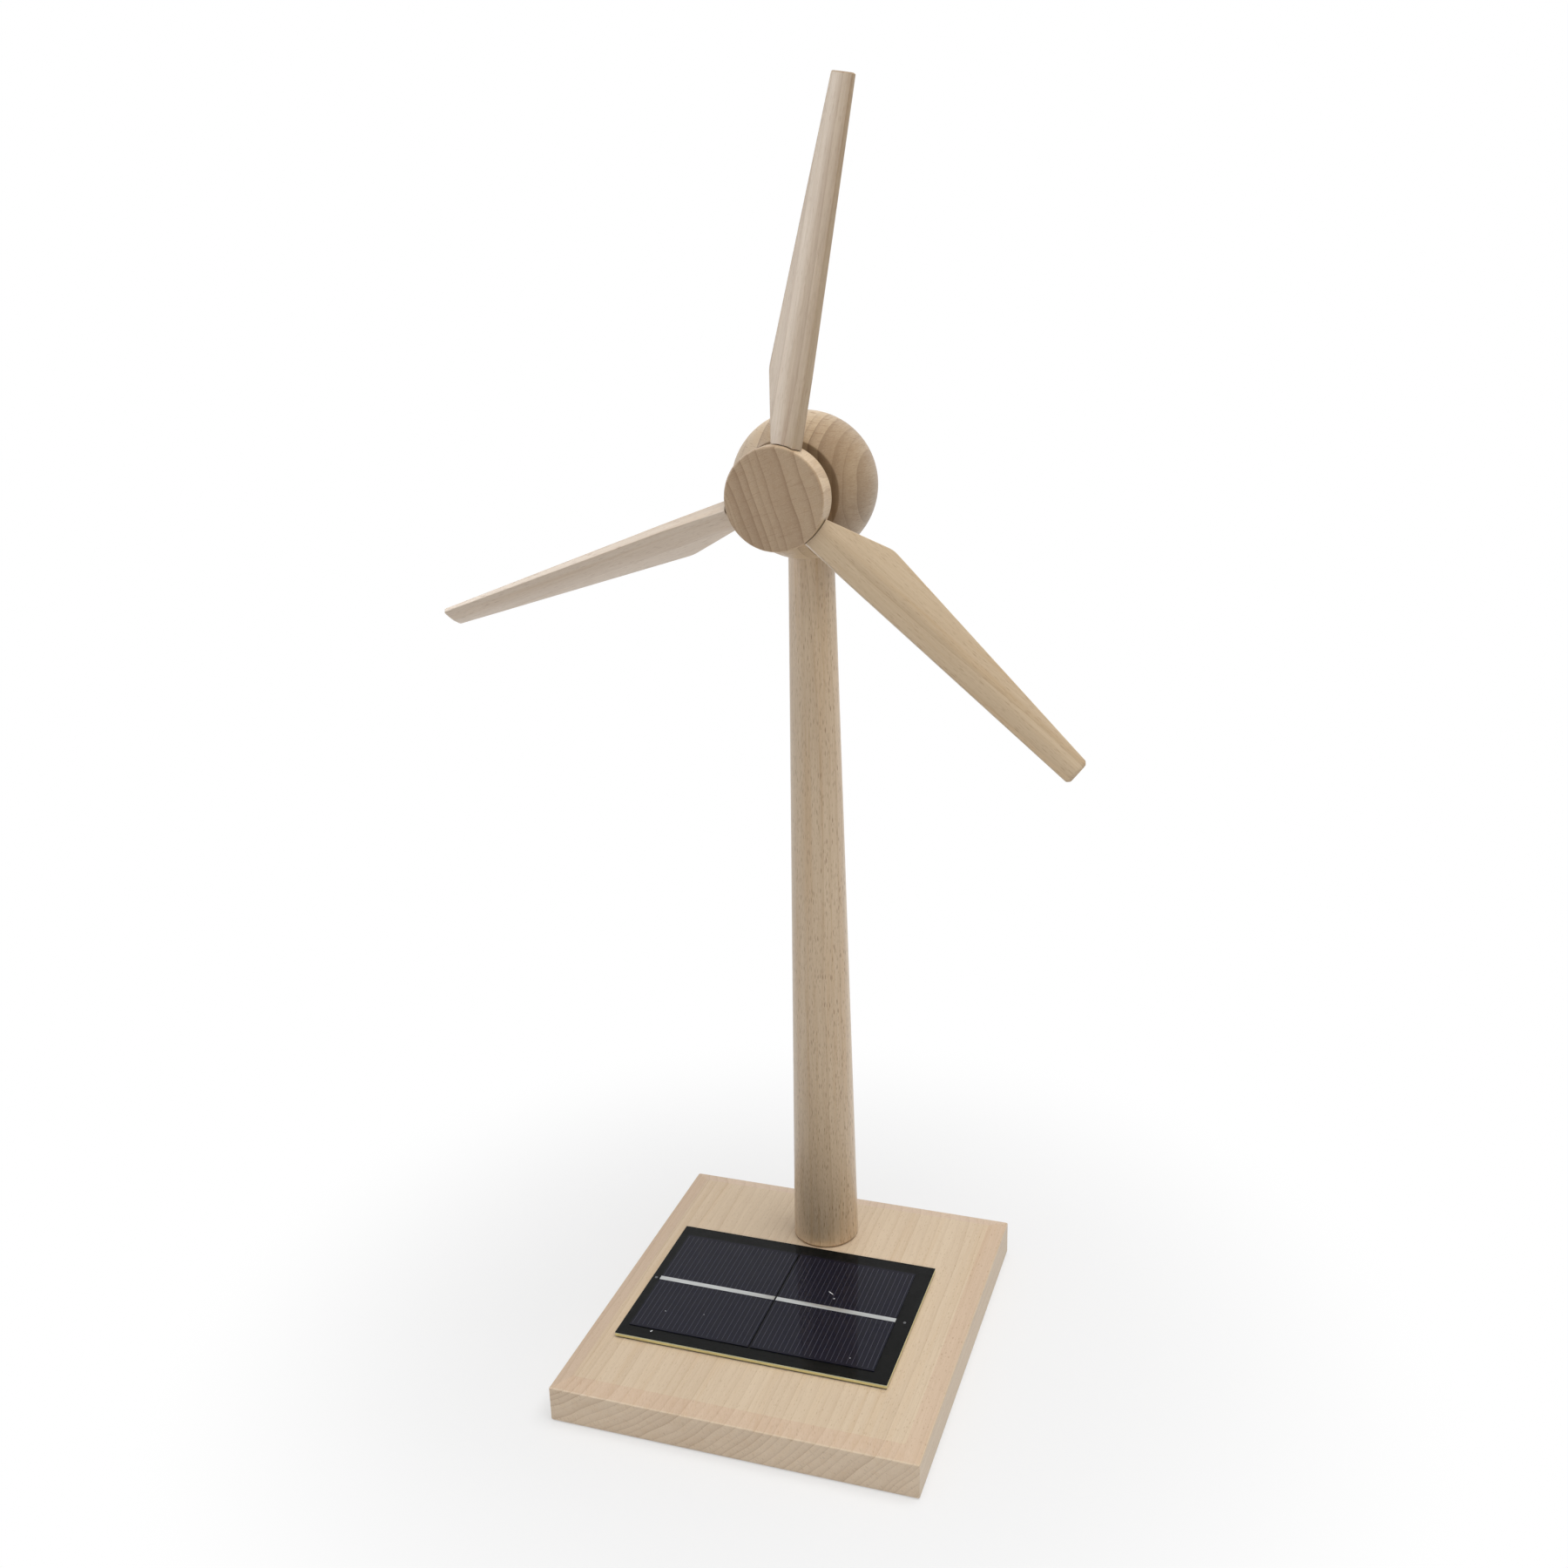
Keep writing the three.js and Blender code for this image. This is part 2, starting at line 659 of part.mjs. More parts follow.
// The clear coat lies over the board and is hollow where the cells, ribbons and solder lie
function panelCoat() {
  const slab = lofted([
    rectangleRing(panelWidth, panelDepth, boardTop),
    rectangleRing(panelWidth, panelDepth, panelTop - coatEase),
    rectangleRing(panelWidth - 2 * coatEase, panelDepth - 2 * coatEase, panelTop),
  ]).translate([panelSide, panelBack, 0]);
  const [x, y] = [cellsWidth / 2 + seatGap, cellsDepth / 2 + seatGap];
  const pocket = block(
    [cellsSide - x, cellsBack - y, boardTop - cutOverrun],
    [cellsSide + x, cellsBack + y, boardTop + cellThickness],
  );
  return [ribbonAt(-1, seatGap), ribbonAt(1, seatGap), solderAt(-1, layerGap), solderAt(1, layerGap)]
    .reduce((body, hollow) => body.subtract(hollow), slab.subtract(pocket));
}

function pad(side) {
  const disc = turned(rodProfile(padRadius, panelFloor - padThickness, panelFloor), smallSides);
  return disc.translate([towerSide + side * padSpacing / 2, leadHoleBack, 0]);
}

// The leads run from the pads down to the groove, back to the tower, up its bore and into the ball,
// where they turn out to the terminals. Each point is [distance from the middle, y, z].
const grooveMiddle = (slipThickness + grooveDepth) / 2;
const [padSide, boreSide] = [padSpacing / 2, leadSpacing / 2];
const terminalSide = terminalReach + brushThickness / 2;
const leadRoute = [
  [padSide, leadHoleBack - leadBend / 4, panelFloor - padThickness - layerGap],
  [padSide, leadHoleBack - leadBend / 4, grooveMiddle + leadBend],
  [padSide, leadHoleBack, grooveMiddle + leadBend / 4],
  [padSide, leadHoleBack + leadBend, grooveMiddle],
  [boreSide, towerBack - 2 * leadBend, grooveMiddle],
  [boreSide, towerBack - leadBend / 2, grooveMiddle],
  [boreSide, towerBack + leadBend / 4, grooveMiddle + leadBend / 2],
  [boreSide, towerBack + leadBend / 8, baseThickness],
  [boreSide, towerBack, towerTopHeight / 2],
  [boreSide, towerBack, towerTopHeight],
  [boreSide, towerBack + leadBend / 8, ballHeight - cavityRadius],
  [padSide, towerBack + leadBend / 4, ballHeight - leadBend],
  [terminalSide - leadBend / 2, towerBack + leadBend / 4, ballHeight - leadBend / 4],
  [terminalSide, ballBack - terminalBack + leadBend / 2, ballHeight],
  [terminalSide, ballBack - terminalBack + layerGap, ballHeight],
];

function lead(side) {
  const points = leadRoute.map(([reach, y, z]) => new THREE.Vector3(towerSide + side * reach, y, z));
  const path = new THREE.CatmullRomCurve3(points, false, 'centripetal');
  const section = new THREE.Shape();
  for (let i = 0; i < leadSides; i++) {
    const angle = 2 * Math.PI * i / leadSides;
    const [x, y] = [leadRadius * Math.cos(angle), leadRadius * Math.sin(angle)];
    if (i === 0) section.moveTo(x, y);
    else section.lineTo(x, y);
  }
  return toSolid(new THREE.ExtrudeGeometry(section, { steps: leadSteps, extrudePath: path }));
}

// Meshes and their places
function mesh(name, solid, finish) {
  const made = new THREE.Mesh(toGeometry(solid), new THREE.MeshStandardMaterial(finish));
  made.name = name;
  return made;
}

function axisGroup(...children) {
  const group = new THREE.Group();
  group.position.set(towerSide, ballBack, ballHeight);
  group.add(...children);
  return group;
}

function standPieces() {
  const mast = mesh('tower', tower(), beechTower);
  mast.position.set(towerSide, towerBack, 0);
  return [
    mesh('base_board', baseBoard(), beechTop),
    mesh('groove_cover', grooveCover(), beechPin),
    mast,
    mesh('panel_tape', panelTape(), foam),
    mesh('panel_board', panelBoard(), laminate),
    mesh('panel_coat', panelCoat(), clearCoat),
    mesh('cell_left', cellAt(-1), silicon),
    mesh('cell_right', cellAt(1), silicon),
    mesh('ribbon_left', ribbonAt(-1, 0), tin),
    mesh('ribbon_right', ribbonAt(1, 0), tin),
    mesh('solder_left', solderAt(-1, 0), tin),
    mesh('solder_right', solderAt(1, 0), tin),
    mesh('pad_negative', pad(-1), tin),
    mesh('pad_positive', pad(1), tin),
    mesh('lead_black', lead(-1), blackLead),
    mesh('lead_red', lead(1), redLead),
  ];
}

function nacellePieces() {
  return axisGroup(
    mesh('nacelle_ball', nacelleBall(), beechBall),
    mesh('motor_can', motorCan(), steel),
    mesh('motor_end_cap', motorEndCap(), whitePlastic),
    mesh('bearing_front', frontBearing(), bronze),
    mesh('bearing_rear', rearBearing(), bronze),
    mesh('magnet_left', magnet(-1), castMagnet),
    mesh('magnet_right', magnet(1), castMagnet),
    mesh('brush_left', brush(-1), copper),
    mesh('brush_right', brush(1), copper),
  );
}

function bladePieces(index) {
  const arm = new THREE.Group();
  const wood = blade(bladePitchAngles[index], bladeTipRadii[index], bladeTipEases[index]);
  const wing = mesh(`blade_${index + 1}`, wood, beechBlade);
  const pin = mesh(`dowel_${index + 1}`, dowel(), beechPin);
  for (const piece of [wing, pin]) {
    piece.position.y = -bladePlane;
    piece.rotation.z = -THREE.MathUtils.degToRad(bladePitchAngles[index]);
  }
  arm.rotation.y = THREE.MathUtils.degToRad(bladeClockAngles[index]);
  arm.add(wing, pin);
  return arm;
}

function rotorPieces() {
  return axisGroup(
    mesh('motor_shaft', motorShaft(), steel),
    mesh('armature_core', armatureCore(), steel),
    ...poleAngles.map((angle, k) => mesh(`winding_${k + 1}`, winding(angle), copper)),
    mesh('commutator', commutator(), copper),
    mesh('hub_bush', hubBush(), bronze),
    mesh('hub_disc', hubDisc(), beechHub),
    ...bladeClockAngles.map((clock, k) => bladePieces(k)),
  );
}

const turbine = new THREE.Group();
turbine.add(...standPieces(), nacellePieces(), rotorPieces());

export default turbine;
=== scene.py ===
import math

import bmesh
import bpy
from mathutils import Matrix, Vector


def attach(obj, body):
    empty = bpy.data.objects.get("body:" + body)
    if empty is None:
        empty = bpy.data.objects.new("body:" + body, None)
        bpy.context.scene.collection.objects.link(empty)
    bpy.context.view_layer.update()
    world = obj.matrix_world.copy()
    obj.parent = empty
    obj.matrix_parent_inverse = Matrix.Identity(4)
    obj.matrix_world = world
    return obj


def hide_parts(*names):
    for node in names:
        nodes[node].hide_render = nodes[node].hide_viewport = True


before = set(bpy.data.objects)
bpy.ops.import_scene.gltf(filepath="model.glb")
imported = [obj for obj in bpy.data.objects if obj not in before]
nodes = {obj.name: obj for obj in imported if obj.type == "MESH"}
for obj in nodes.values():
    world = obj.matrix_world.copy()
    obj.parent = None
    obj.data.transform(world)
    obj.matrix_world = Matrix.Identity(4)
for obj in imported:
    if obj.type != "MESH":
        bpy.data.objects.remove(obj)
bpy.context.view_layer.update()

mm = 0.001

# Camera, solved from the photograph: place in millimetres and the directions of its three axes

cameraValues = {
    "place": (157.67, -449.89, 356.36),
    "right": (0.9474, 0.3189, -0.0274),
    "up": (-0.0769, 0.3099, 0.9477),
    "back": (0.3107, -0.8957, 0.3181),
    "lens": 38.09,
    "sensor": 36,
    "clipStart": 0.01,
}


def placeCamera(values):
    data = bpy.data.cameras.new("camera")
    data.sensor_width = values["sensor"]
    data.lens = values["lens"]
    data.clip_start = values["clipStart"]
    camera = bpy.data.objects.new("camera", data)
    axes = [Vector(values[key]) for key in ("right", "up", "back")]
    turn = Matrix(axes).transposed().to_quaternion().to_matrix().to_4x4()
    camera.matrix_world = Matrix.Translation(Vector(values["place"]) * mm) @ turn
    bpy.context.scene.collection.objects.link(camera)
    bpy.context.scene.camera = camera


placeCamera(cameraValues)

# What several pieces share, in millimetres and degrees. The rotor's axis runs through the ball's centre.

sharedValues = {
    "side": -1.0, "ballBack": 34.7, "height": 281.5, "bladePlane": 25.0898, "towerBack": 40,
    "leadHoleBack": 16, "clockAngles": (10.3, 249.5, 130.3), "pitchAngles": (29, 49.5, 26), "dowelHole": 1.7,
    "dowelSides": 24, "overrun": 1,
}
axisCentre = Vector([sharedValues[key] for key in ("side", "ballBack", "height")])
overrun = sharedValues["overrun"]  # How far a cutter runs on past what it cuts

# Mesh building. The merge distance is in metres.

meshValues = {"mergeDistance": 1e-7, "onAxis": 1e-6, "longestCut": 0.48, "smoothAngle": 35, "flatShare": 0.1}


def makeObject(name, corners, faces):
    mesh = bpy.data.meshes.new(name)
    mesh.from_pydata([Vector(c) * mm for c in corners], [], faces)
    piece = bpy.data.objects.new(name, mesh)
    bpy.context.scene.collection.objects.link(piece)
    faceOut(piece)
    return piece


def editMesh(piece, change):
    work = bmesh.new()
    work.from_mesh(piece.data)
    change(work)
    work.to_mesh(piece.data)
    work.free()


def faceOut(piece):
    def change(work):
        bmesh.ops.remove_doubles(work, verts=work.verts, dist=meshValues["mergeDistance"])
        bmesh.ops.recalc_face_normals(work, faces=work.faces)
    editMesh(piece, change)


# With keepFlat, a face whose neighbours are all much smaller stays flat, so that soft edges don't
# bend its light
def smooth(piece, angle, keepFlat):
    def change(work):
        for face in work.faces:
            limit = face.calc_area() * meshValues["flatShare"]
            around = {other for edge in face.edges for other in edge.link_faces} - {face}
            face.smooth = not all(other.calc_area() < limit for other in around)
    piece.data.shade_smooth()
    piece.data.set_sharp_from_angle(angle=math.radians(angle))
    if keepFlat:
        editMesh(piece, change)


# Each corner of an outline is cut back by its own length and joined by a short curve
def filleted(points, cuts, closed=False, steps=3):
    made = []
    count, longest = len(points), meshValues["longestCut"]
    for i, point in enumerate(points):
        here = Vector(point)
        cut = cuts[i] if isinstance(cuts, (list, tuple)) else cuts
        if cut <= 0 or (not closed and i in (0, count - 1)):
            made.append(here)
            continue
        before, after = Vector(points[i - 1]) - here, Vector(points[(i + 1) % count]) - here
        cut = min(cut, longest * before.length, longest * after.length)
        start, end = here + before.normalized() * cut, here + after.normalized() * cut
        for k in range(steps + 1):
            t = k / steps
            made.append(start * (1 - t) ** 2 + here * 2 * t * (1 - t) + end * t ** 2)
    return made


# A profile of (radius, height) turned about an axis: from axis to axis, or closed on itself
def lathe(name, profile, sides, place, closed=False):
    corners, rings = [], []
    for radius, height in profile:
        if radius < meshValues["onAxis"]:
            rings.append([len(corners)])
            corners.append(place(0, 0, height))
            continue
        rings.append([len(corners) + k for k in range(sides)])
        for k in range(sides):
            angle = 2 * math.pi * k / sides
            corners.append(place(radius * math.cos(angle), radius * math.sin(angle), height))
    faces = []
    pairs = list(zip(rings, rings[1:])) + ([(rings[-1], rings[0])] if closed else [])
    for low, high in pairs:
        for k in range(sides):
            n = (k + 1) % sides
            if len(low) == 1 and len(high) == 1:
                continue
            if len(low) == 1:
                faces.append((low[0], high[n], high[k]))
            elif len(high) == 1:
                faces.append((low[k], low[n], high[0]))
            else:
                faces.append((low[k], low[n], high[n], high[k]))
    return makeObject(name, corners, faces)


# A skin over rings of equally many points
def loft(name, rings):
    count = len(rings[0])
    corners = [corner for ring in rings for corner in ring]
    faces = []
    for r in range(len(rings) - 1):
        for i in range(count):
            a, b = r * count + i, r * count + (i + 1) % count
            faces.append((a, b, b + count, a + count))
    faces.append(tuple(range(count - 1, -1, -1)))
    faces.append(tuple((len(rings) - 1) * count + i for i in range(count)))
    return makeObject(name, corners, faces)


# A ring with four corners, level at a height
def fourCorners(x0, y0, x1, y1, z):
    return [(x0, y0, z), (x1, y0, z), (x1, y1, z), (x0, y1, z)]


def upright(back, side=sharedValues["side"]):
    return lambda x, y, h: (side + x, back + y, h)


# Heights grow to the front, from the ball's centre
def forward(x, y, h):
    return (axisCentre.x + x, axisCentre.y - h, axisCentre.z + y)


def rod(radius, low, high):
    return [(0, low), (radius, low), (radius, high), (0, high)]


def tube(inner, outer, low, high, cut):
    return filleted([(inner, low), (outer, low), (outer, high), (inner, high)], cut, True)


# Turns a piece and its modifiers into a plain mesh
def applyAll(piece):
    bpy.context.view_layer.update()
    graph = bpy.context.evaluated_depsgraph_get()
    old, mesh = piece.data, bpy.data.meshes.new_from_object(piece.evaluated_get(graph))
    piece.modifiers.clear()
    piece.data = mesh
    bpy.data.meshes.remove(old)
    mesh.name = piece.name


# Cuts the other pieces out of the first, and removes them
def cutOut(piece, cutters):
    for cutter in cutters:
        change = piece.modifiers.new("cut", "BOOLEAN")
        change.operation = "DIFFERENCE"
        change.solver = "EXACT"
        change.object = cutter
    applyAll(piece)
    for cutter in cutters:
        bpy.data.objects.remove(cutter)
    return piece


def softenEdges(piece, width, segments=3):
    def change(work):
        bmesh.ops.bevel(
            work, geom=work.edges[:], offset=width * mm, offset_type="OFFSET", segments=segments,
            profile=0.5, affect="EDGES", clamp_overlap=True,
        )
    editMesh(piece, change)
    return piece


def box(name, low, high, ease):
    (x0, y0, z0), (x1, y1, z1) = low, high
    return softenEdges(loft(name, [fourCorners(x0, y0, x1, y1, z) for z in (z0, z1)]), ease, 2)


def finish(piece, body, node, material, angle=meshValues["smoothAngle"], keepFlat=False):
    smooth(piece, angle, keepFlat)
    piece.data.materials.clear()
    piece.data.materials.append(material)
    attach(piece, body)
    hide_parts(node)


# Shader building

def addNode(tree, kind, inputs=None, **settings):
    node = tree.nodes.new(kind)
    for key, value in settings.items():
        setattr(node, key, value)
    for key, value in (inputs or {}).items():
        if isinstance(value, bpy.types.NodeSocket):
            tree.links.new(value, node.inputs[key])
        else:
            node.inputs[key].default_value = value
    return node


def calc(tree, operation, *values, clamp=False):
    inputs = dict(enumerate(values))
    return addNode(tree, "ShaderNodeMath", inputs, operation=operation, use_clamp=clamp).outputs[0]


def calcVector(tree, operation, *values):
    outputs = addNode(tree, "ShaderNodeVectorMath", dict(enumerate(values)), operation=operation).outputs
    return outputs["Value" if operation in ("LENGTH", "DOT_PRODUCT") else "Vector"]


def spread(tree, value, low, high, toLow=0.0, toHigh=1.0, kind="LINEAR"):
    inputs = {"Value": value, "From Min": low, "From Max": high, "To Min": toLow, "To Max": toHigh}
    return addNode(tree, "ShaderNodeMapRange", inputs, interpolation_type=kind).outputs[0]


def noise(tree, vector, scale, detail=2.0, roughness=0.5):
    inputs = {"Vector": vector, "Scale": scale, "Detail": detail, "Roughness": roughness}
    return addNode(tree, "ShaderNodeTexNoise", inputs, noise_dimensions="3D")


def mixColour(tree, share, first, second, blend="MIX"):
    inputs = {0: share, 6: first, 7: second}
    return addNode(tree, "ShaderNodeMix", inputs, data_type="RGBA", blend_type=blend).outputs[2]


def newGroup(name, inputs, outputs, kind="ShaderNodeTree"):
    tree = bpy.data.node_groups.new(name, kind)
    for label, content, value in inputs:
        socket = tree.interface.new_socket(name=label, in_out="INPUT", socket_type="NodeSocket" + content)
        if value is not None:
            socket.default_value = value
    for label, content in outputs:
        tree.interface.new_socket(name=label, in_out="OUTPUT", socket_type="NodeSocket" + content)
    start = tree.nodes.new("NodeGroupInput").outputs
    end = tree.nodes.new("NodeGroupOutput").inputs
    return tree, start, end


# Relief in millimetres, from the group's own Relief input to its Normal output
def addRelief(tree, height, start, end):
    inputs = {"Height": height, "Strength": 1.0, "Distance": calc(tree, "MULTIPLY", start["Relief"], mm)}
    tree.links.new(addNode(tree, "ShaderNodeBump", inputs).outputs[0], end["Normal"])


# Beech as a solid texture in millimetres: Z runs along the grain and the pith is on the axis.
# Rings lie round the pith. Flecks are thin lenses along the grain, and Ray Depth is how far they
# reach away from the pith. End Share is one where the grain meets the surface end on.

grainValues = {
    "bendStretch": (0.03, 0.03, 0.006), "bendReach": 7, "unevenStretch": 0.13, "unevenReach": 1.4,
    "crowdRate": 0.2, "crowdStart": -2.4, "latePower": 16.0, "lateDepth": 0.45, "earlyPower": 2.2,
    "earlyDepth": 0.6, "leastRing": 0.5, "ringTone": 0.3, "ringMiddle": 0.2, "middleShade": 0.42,
    "heartRate": 0.05, "lensInner": 0.14, "lensOuter": 0.4, "leastFleck": 0.3, "smallFleck": 0.6,
    "smallOffset": 31.7, "smallStrength": 0.7, "fibreStretch": (2.6, 2.6, 0.09), "fibreGain": 2.4,
    "streakStretch": (0.45, 0.45, 0.009), "streakGain": 1.8, "cloudStretch": (0.035, 0.035, 0.012),
    "cloudGain": 2.5, "warmFrom": 0.48, "warmTo": 0.68, "roughness": 0.52, "fibreRoughness": 0.3,
    "fleckRoughness": 0.1, "fibreHeight": 1.6, "fleckHeight": 0.5, "ringHeight": 0.4, "endFrom": 0.1,
    "endTo": 0.9,
}


def buildBeech(values):
    v = values
    tree, start, end = newGroup("beechGrain", [
        ("Vector", "Vector", None),
        ("Light", "Color", (0.6, 0.45, 0.3, 1)),
        ("Dark", "Color", (0.4, 0.28, 0.17, 1)),
        ("Fleck", "Color", (0.25, 0.15, 0.08, 1)),
        ("Warm", "Color", (1.0, 0.94, 0.84, 1)),
        ("End Tint", "Color", (1.0, 1.0, 1.0, 1)),
        ("End Share", "Float", 0.0),
        ("Pith Distance", "Float", 80.0),
        ("Ring Spacing", "Float", 3.0),
        ("Ring Strength", "Float", 0.3),
        ("Ring Crowding", "Float", 0.0),
        ("Heart Shade", "Float", 0.0),
        ("Fleck Width", "Float", 0.6),
        ("Fleck Length", "Float", 3.2),
        ("Ray Depth", "Float", 0.8),
        ("Fleck Share", "Float", 0.4),
        ("Fleck Strength", "Float", 0.5),
        ("Fibre Strength", "Float", 0.3),
        ("Streak Strength", "Float", 0.3),
        ("Cloud Strength", "Float", 0.2),
        ("Relief", "Float", 0.02),
        ("Seed", "Float", 0.0),
    ], [("Color", "Color"), ("Roughness", "Float"), ("Normal", "Vector")])
    place = start["Vector"]
    shift = addNode(tree, "ShaderNodeCombineXYZ", {0: start["Seed"], 1: 0.0, 2: start["Seed"]}).outputs[0]
    moved = calcVector(tree, "ADD", place, shift)

    def patches(stretch, detail, roughness):
        return noise(tree, calcVector(tree, "MULTIPLY", moved, stretch), 1.0, detail, roughness).outputs

    # Rings, bent a little and of uneven width, that may crowd towards the bark
    sway = calcVector(tree, "SUBTRACT", patches(v["bendStretch"], 2.0, 0.5)["Color"], (0.5, 0.5, 0.5))
    warped = calcVector(tree, "ADD", calcVector(tree, "MULTIPLY", sway, (v["bendReach"],) * 3), place)
    radius = calcVector(tree, "LENGTH", calcVector(tree, "MULTIPLY", warped, (1, 1, 0)))
    along = calc(tree, "MULTIPLY_ADD", radius, v["unevenStretch"], start["Seed"])
    inputs = {"W": along, "Scale": 1.0, "Detail": 1.0}
    uneven = addNode(tree, "ShaderNodeTexNoise", inputs, noise_dimensions="1D").outputs["Fac"]
    count = calc(tree, "DIVIDE", radius, start["Ring Spacing"])
    count = calc(tree, "MULTIPLY_ADD", uneven, v["unevenReach"], count)
    inward = calc(tree, "SUBTRACT", start["Pith Distance"], radius)
    crowd = calc(tree, "EXPONENT", calc(tree, "MULTIPLY_ADD", inward, v["crowdRate"], v["crowdStart"]))
    count = calc(tree, "SUBTRACT", count, calc(tree, "MULTIPLY", crowd, start["Ring Crowding"]))
    phase = calc(tree, "FRACT", count)
    early = calc(tree, "MULTIPLY", calc(tree, "POWER", phase, v["earlyPower"]), v["earlyDepth"])
    late = calc(tree, "MULTIPLY_ADD", calc(tree, "POWER", phase, v["latePower"]), v["lateDepth"], early)
    number = calc(tree, "ADD", calc(tree, "FLOOR", count), start["Seed"])
    tone = addNode(tree, "ShaderNodeTexWhiteNoise", {"W": number}, noise_dimensions="1D").outputs["Value"]
    ring = calc(tree, "MULTIPLY", late, spread(tree, tone, 0, 1, v["leastRing"], 1))
    ringShade = calc(tree, "SUBTRACT", ring, v["ringMiddle"])
    ringShade = calc(tree, "MULTIPLY_ADD", calc(tree, "SUBTRACT", tone, 0.5), v["ringTone"], ringShade)
    ringGain = calc(tree, "MULTIPLY", start["Ring Strength"], calc(tree, "ADD", start["End Share"], 1.0))

    # Flecks of two sizes, the small ones fainter
    parts = addNode(tree, "ShaderNodeSeparateXYZ", {0: place}).outputs
    angle = calc(tree, "ARCTAN2", parts["Y"], parts["X"])
    across = calc(tree, "MULTIPLY", angle, start["Pith Distance"])

    def lenses(share, offset):
        inputs = {}
        for k, (value, size) in enumerate((
            (across, "Fleck Width"), (parts["Z"], "Fleck Length"), (radius, "Ray Depth"),
        )):
            shifted = calc(tree, "ADD", value, offset)
            inputs[k] = calc(tree, "DIVIDE", shifted, calc(tree, "MULTIPLY", start[size], share))
        at = addNode(tree, "ShaderNodeCombineXYZ", inputs).outputs[0]
        cells = addNode(tree, "ShaderNodeTexVoronoi", {"Vector": at, "Scale": 1.0}, feature="F1").outputs
        pick = addNode(tree, "ShaderNodeSeparateColor", {0: cells["Color"]}).outputs
        chosen = calc(tree, "LESS_THAN", pick[0], start["Fleck Share"])
        lens = spread(tree, cells["Distance"], v["lensInner"], v["lensOuter"], 1, 0, "SMOOTHSTEP")
        depth = spread(tree, pick[1], 0, 1, v["leastFleck"], 1)
        return calc(tree, "MULTIPLY", calc(tree, "MULTIPLY", chosen, lens), depth)

    small = calc(tree, "MULTIPLY", lenses(v["smallFleck"], v["smallOffset"]), v["smallStrength"])
    fleck = calc(tree, "MAXIMUM", lenses(1.0, 0.0), small)

    # Shade from light to dark, then the warm streaks, the end grain and the flecks on top
    fibre = patches(v["fibreStretch"], 3.0, 0.7)["Fac"]
    streak = patches(v["streakStretch"], 3.0, 0.6)["Fac"]
    cloud = patches(v["cloudStretch"], 2.0, 0.5)["Fac"]
    shade = calc(tree, "MULTIPLY_ADD", ringShade, ringGain, v["middleShade"])
    # Darker nearer the pith: heartwood tone, and on the ball also painted shade on its right side
    heart = calc(tree, "MULTIPLY", inward, v["heartRate"])
    shade = calc(tree, "MULTIPLY_ADD", heart, start["Heart Shade"], shade)
    for value, strength, gain in (
        (fibre, "Fibre Strength", v["fibreGain"]), (streak, "Streak Strength", v["streakGain"]),
        (cloud, "Cloud Strength", v["cloudGain"]),
    ):
        level = calc(tree, "MULTIPLY", calc(tree, "SUBTRACT", value, 0.5), gain)
        shade = calc(tree, "MULTIPLY_ADD", level, start[strength], shade)
    body = mixColour(tree, calc(tree, "ADD", shade, 0.0, clamp=True), start["Light"], start["Dark"])
    warmth = spread(tree, streak, v["warmFrom"], v["warmTo"], 0, 1, "SMOOTHSTEP")
    warmth = calc(tree, "MULTIPLY", warmth, start["Streak Strength"])
    body = mixColour(tree, warmth, body, start["Warm"], "MULTIPLY")
    body = mixColour(tree, start["End Share"], body, start["End Tint"], "MULTIPLY")
    colour = mixColour(tree, calc(tree, "MULTIPLY", fleck, start["Fleck Strength"]), body, start["Fleck"])
    tree.links.new(colour, end["Color"])

    # Roughness and relief
    middle = calc(tree, "SUBTRACT", fibre, 0.5)
    rough = calc(tree, "MULTIPLY_ADD", middle, v["fibreRoughness"], v["roughness"])
    rough = calc(tree, "MULTIPLY_ADD", fleck, v["fleckRoughness"], rough, clamp=True)
    tree.links.new(rough, end["Roughness"])
    height = calc(tree, "MULTIPLY", fibre, v["fibreHeight"])
    height = calc(tree, "SUBTRACT", height, calc(tree, "MULTIPLY", fleck, v["fleckHeight"]))
    height = calc(tree, "SUBTRACT", height, calc(tree, "MULTIPLY", ring, v["ringHeight"]))
    addRelief(tree, height, start, end)
    return tree


# Fine uneven surface for metal, plastic, foam, laminate and cast resin

unevenValues = {
    "broadScale": 0.12, "levelFrom": 0.6, "levelTo": 1.4, "dimmed": (0.2, 0.2, 0.2, 1),
    "plainRoughnessChange": 0.25,
}


def buildUneven(values):
    v = values
    tree, start, end = newGroup("unevenSurface", [
        ("Color", "Color", (0.5, 0.5, 0.5, 1)),
        ("Vector", "Vector", None),
        ("Scale", "Float", 300.0),
        ("Colour Change", "Float", 0.2),
        ("Roughness", "Float", 0.4),
        ("Roughness Change", "Float", 0.2),
        ("Relief", "Float", 0.02),
    ], [("Color", "Color"), ("Roughness", "Float"), ("Normal", "Vector")])
    fine = noise(tree, start["Vector"], start["Scale"], 3.0, 0.6).outputs["Fac"]
    broadScale = calc(tree, "MULTIPLY", start["Scale"], v["broadScale"])
    level = calc(tree, "ADD", fine, noise(tree, start["Vector"], broadScale, 2.0).outputs["Fac"])
    dim = spread(tree, level, v["levelFrom"], v["levelTo"], 1, 0)
    dim = calc(tree, "MULTIPLY", dim, start["Colour Change"], clamp=True)
    tree.links.new(mixColour(tree, dim, start["Color"], v["dimmed"], "MULTIPLY"), end["Color"])
    change = calc(tree, "SUBTRACT", level, 1.0)
    rough = calc(tree, "MULTIPLY_ADD", change, start["Roughness Change"], start["Roughness"], clamp=True)
    tree.links.new(rough, end["Roughness"])
    addRelief(tree, fine, start, end)
    return tree


beechTree = buildBeech(grainValues)
unevenTree = buildUneven(unevenValues)


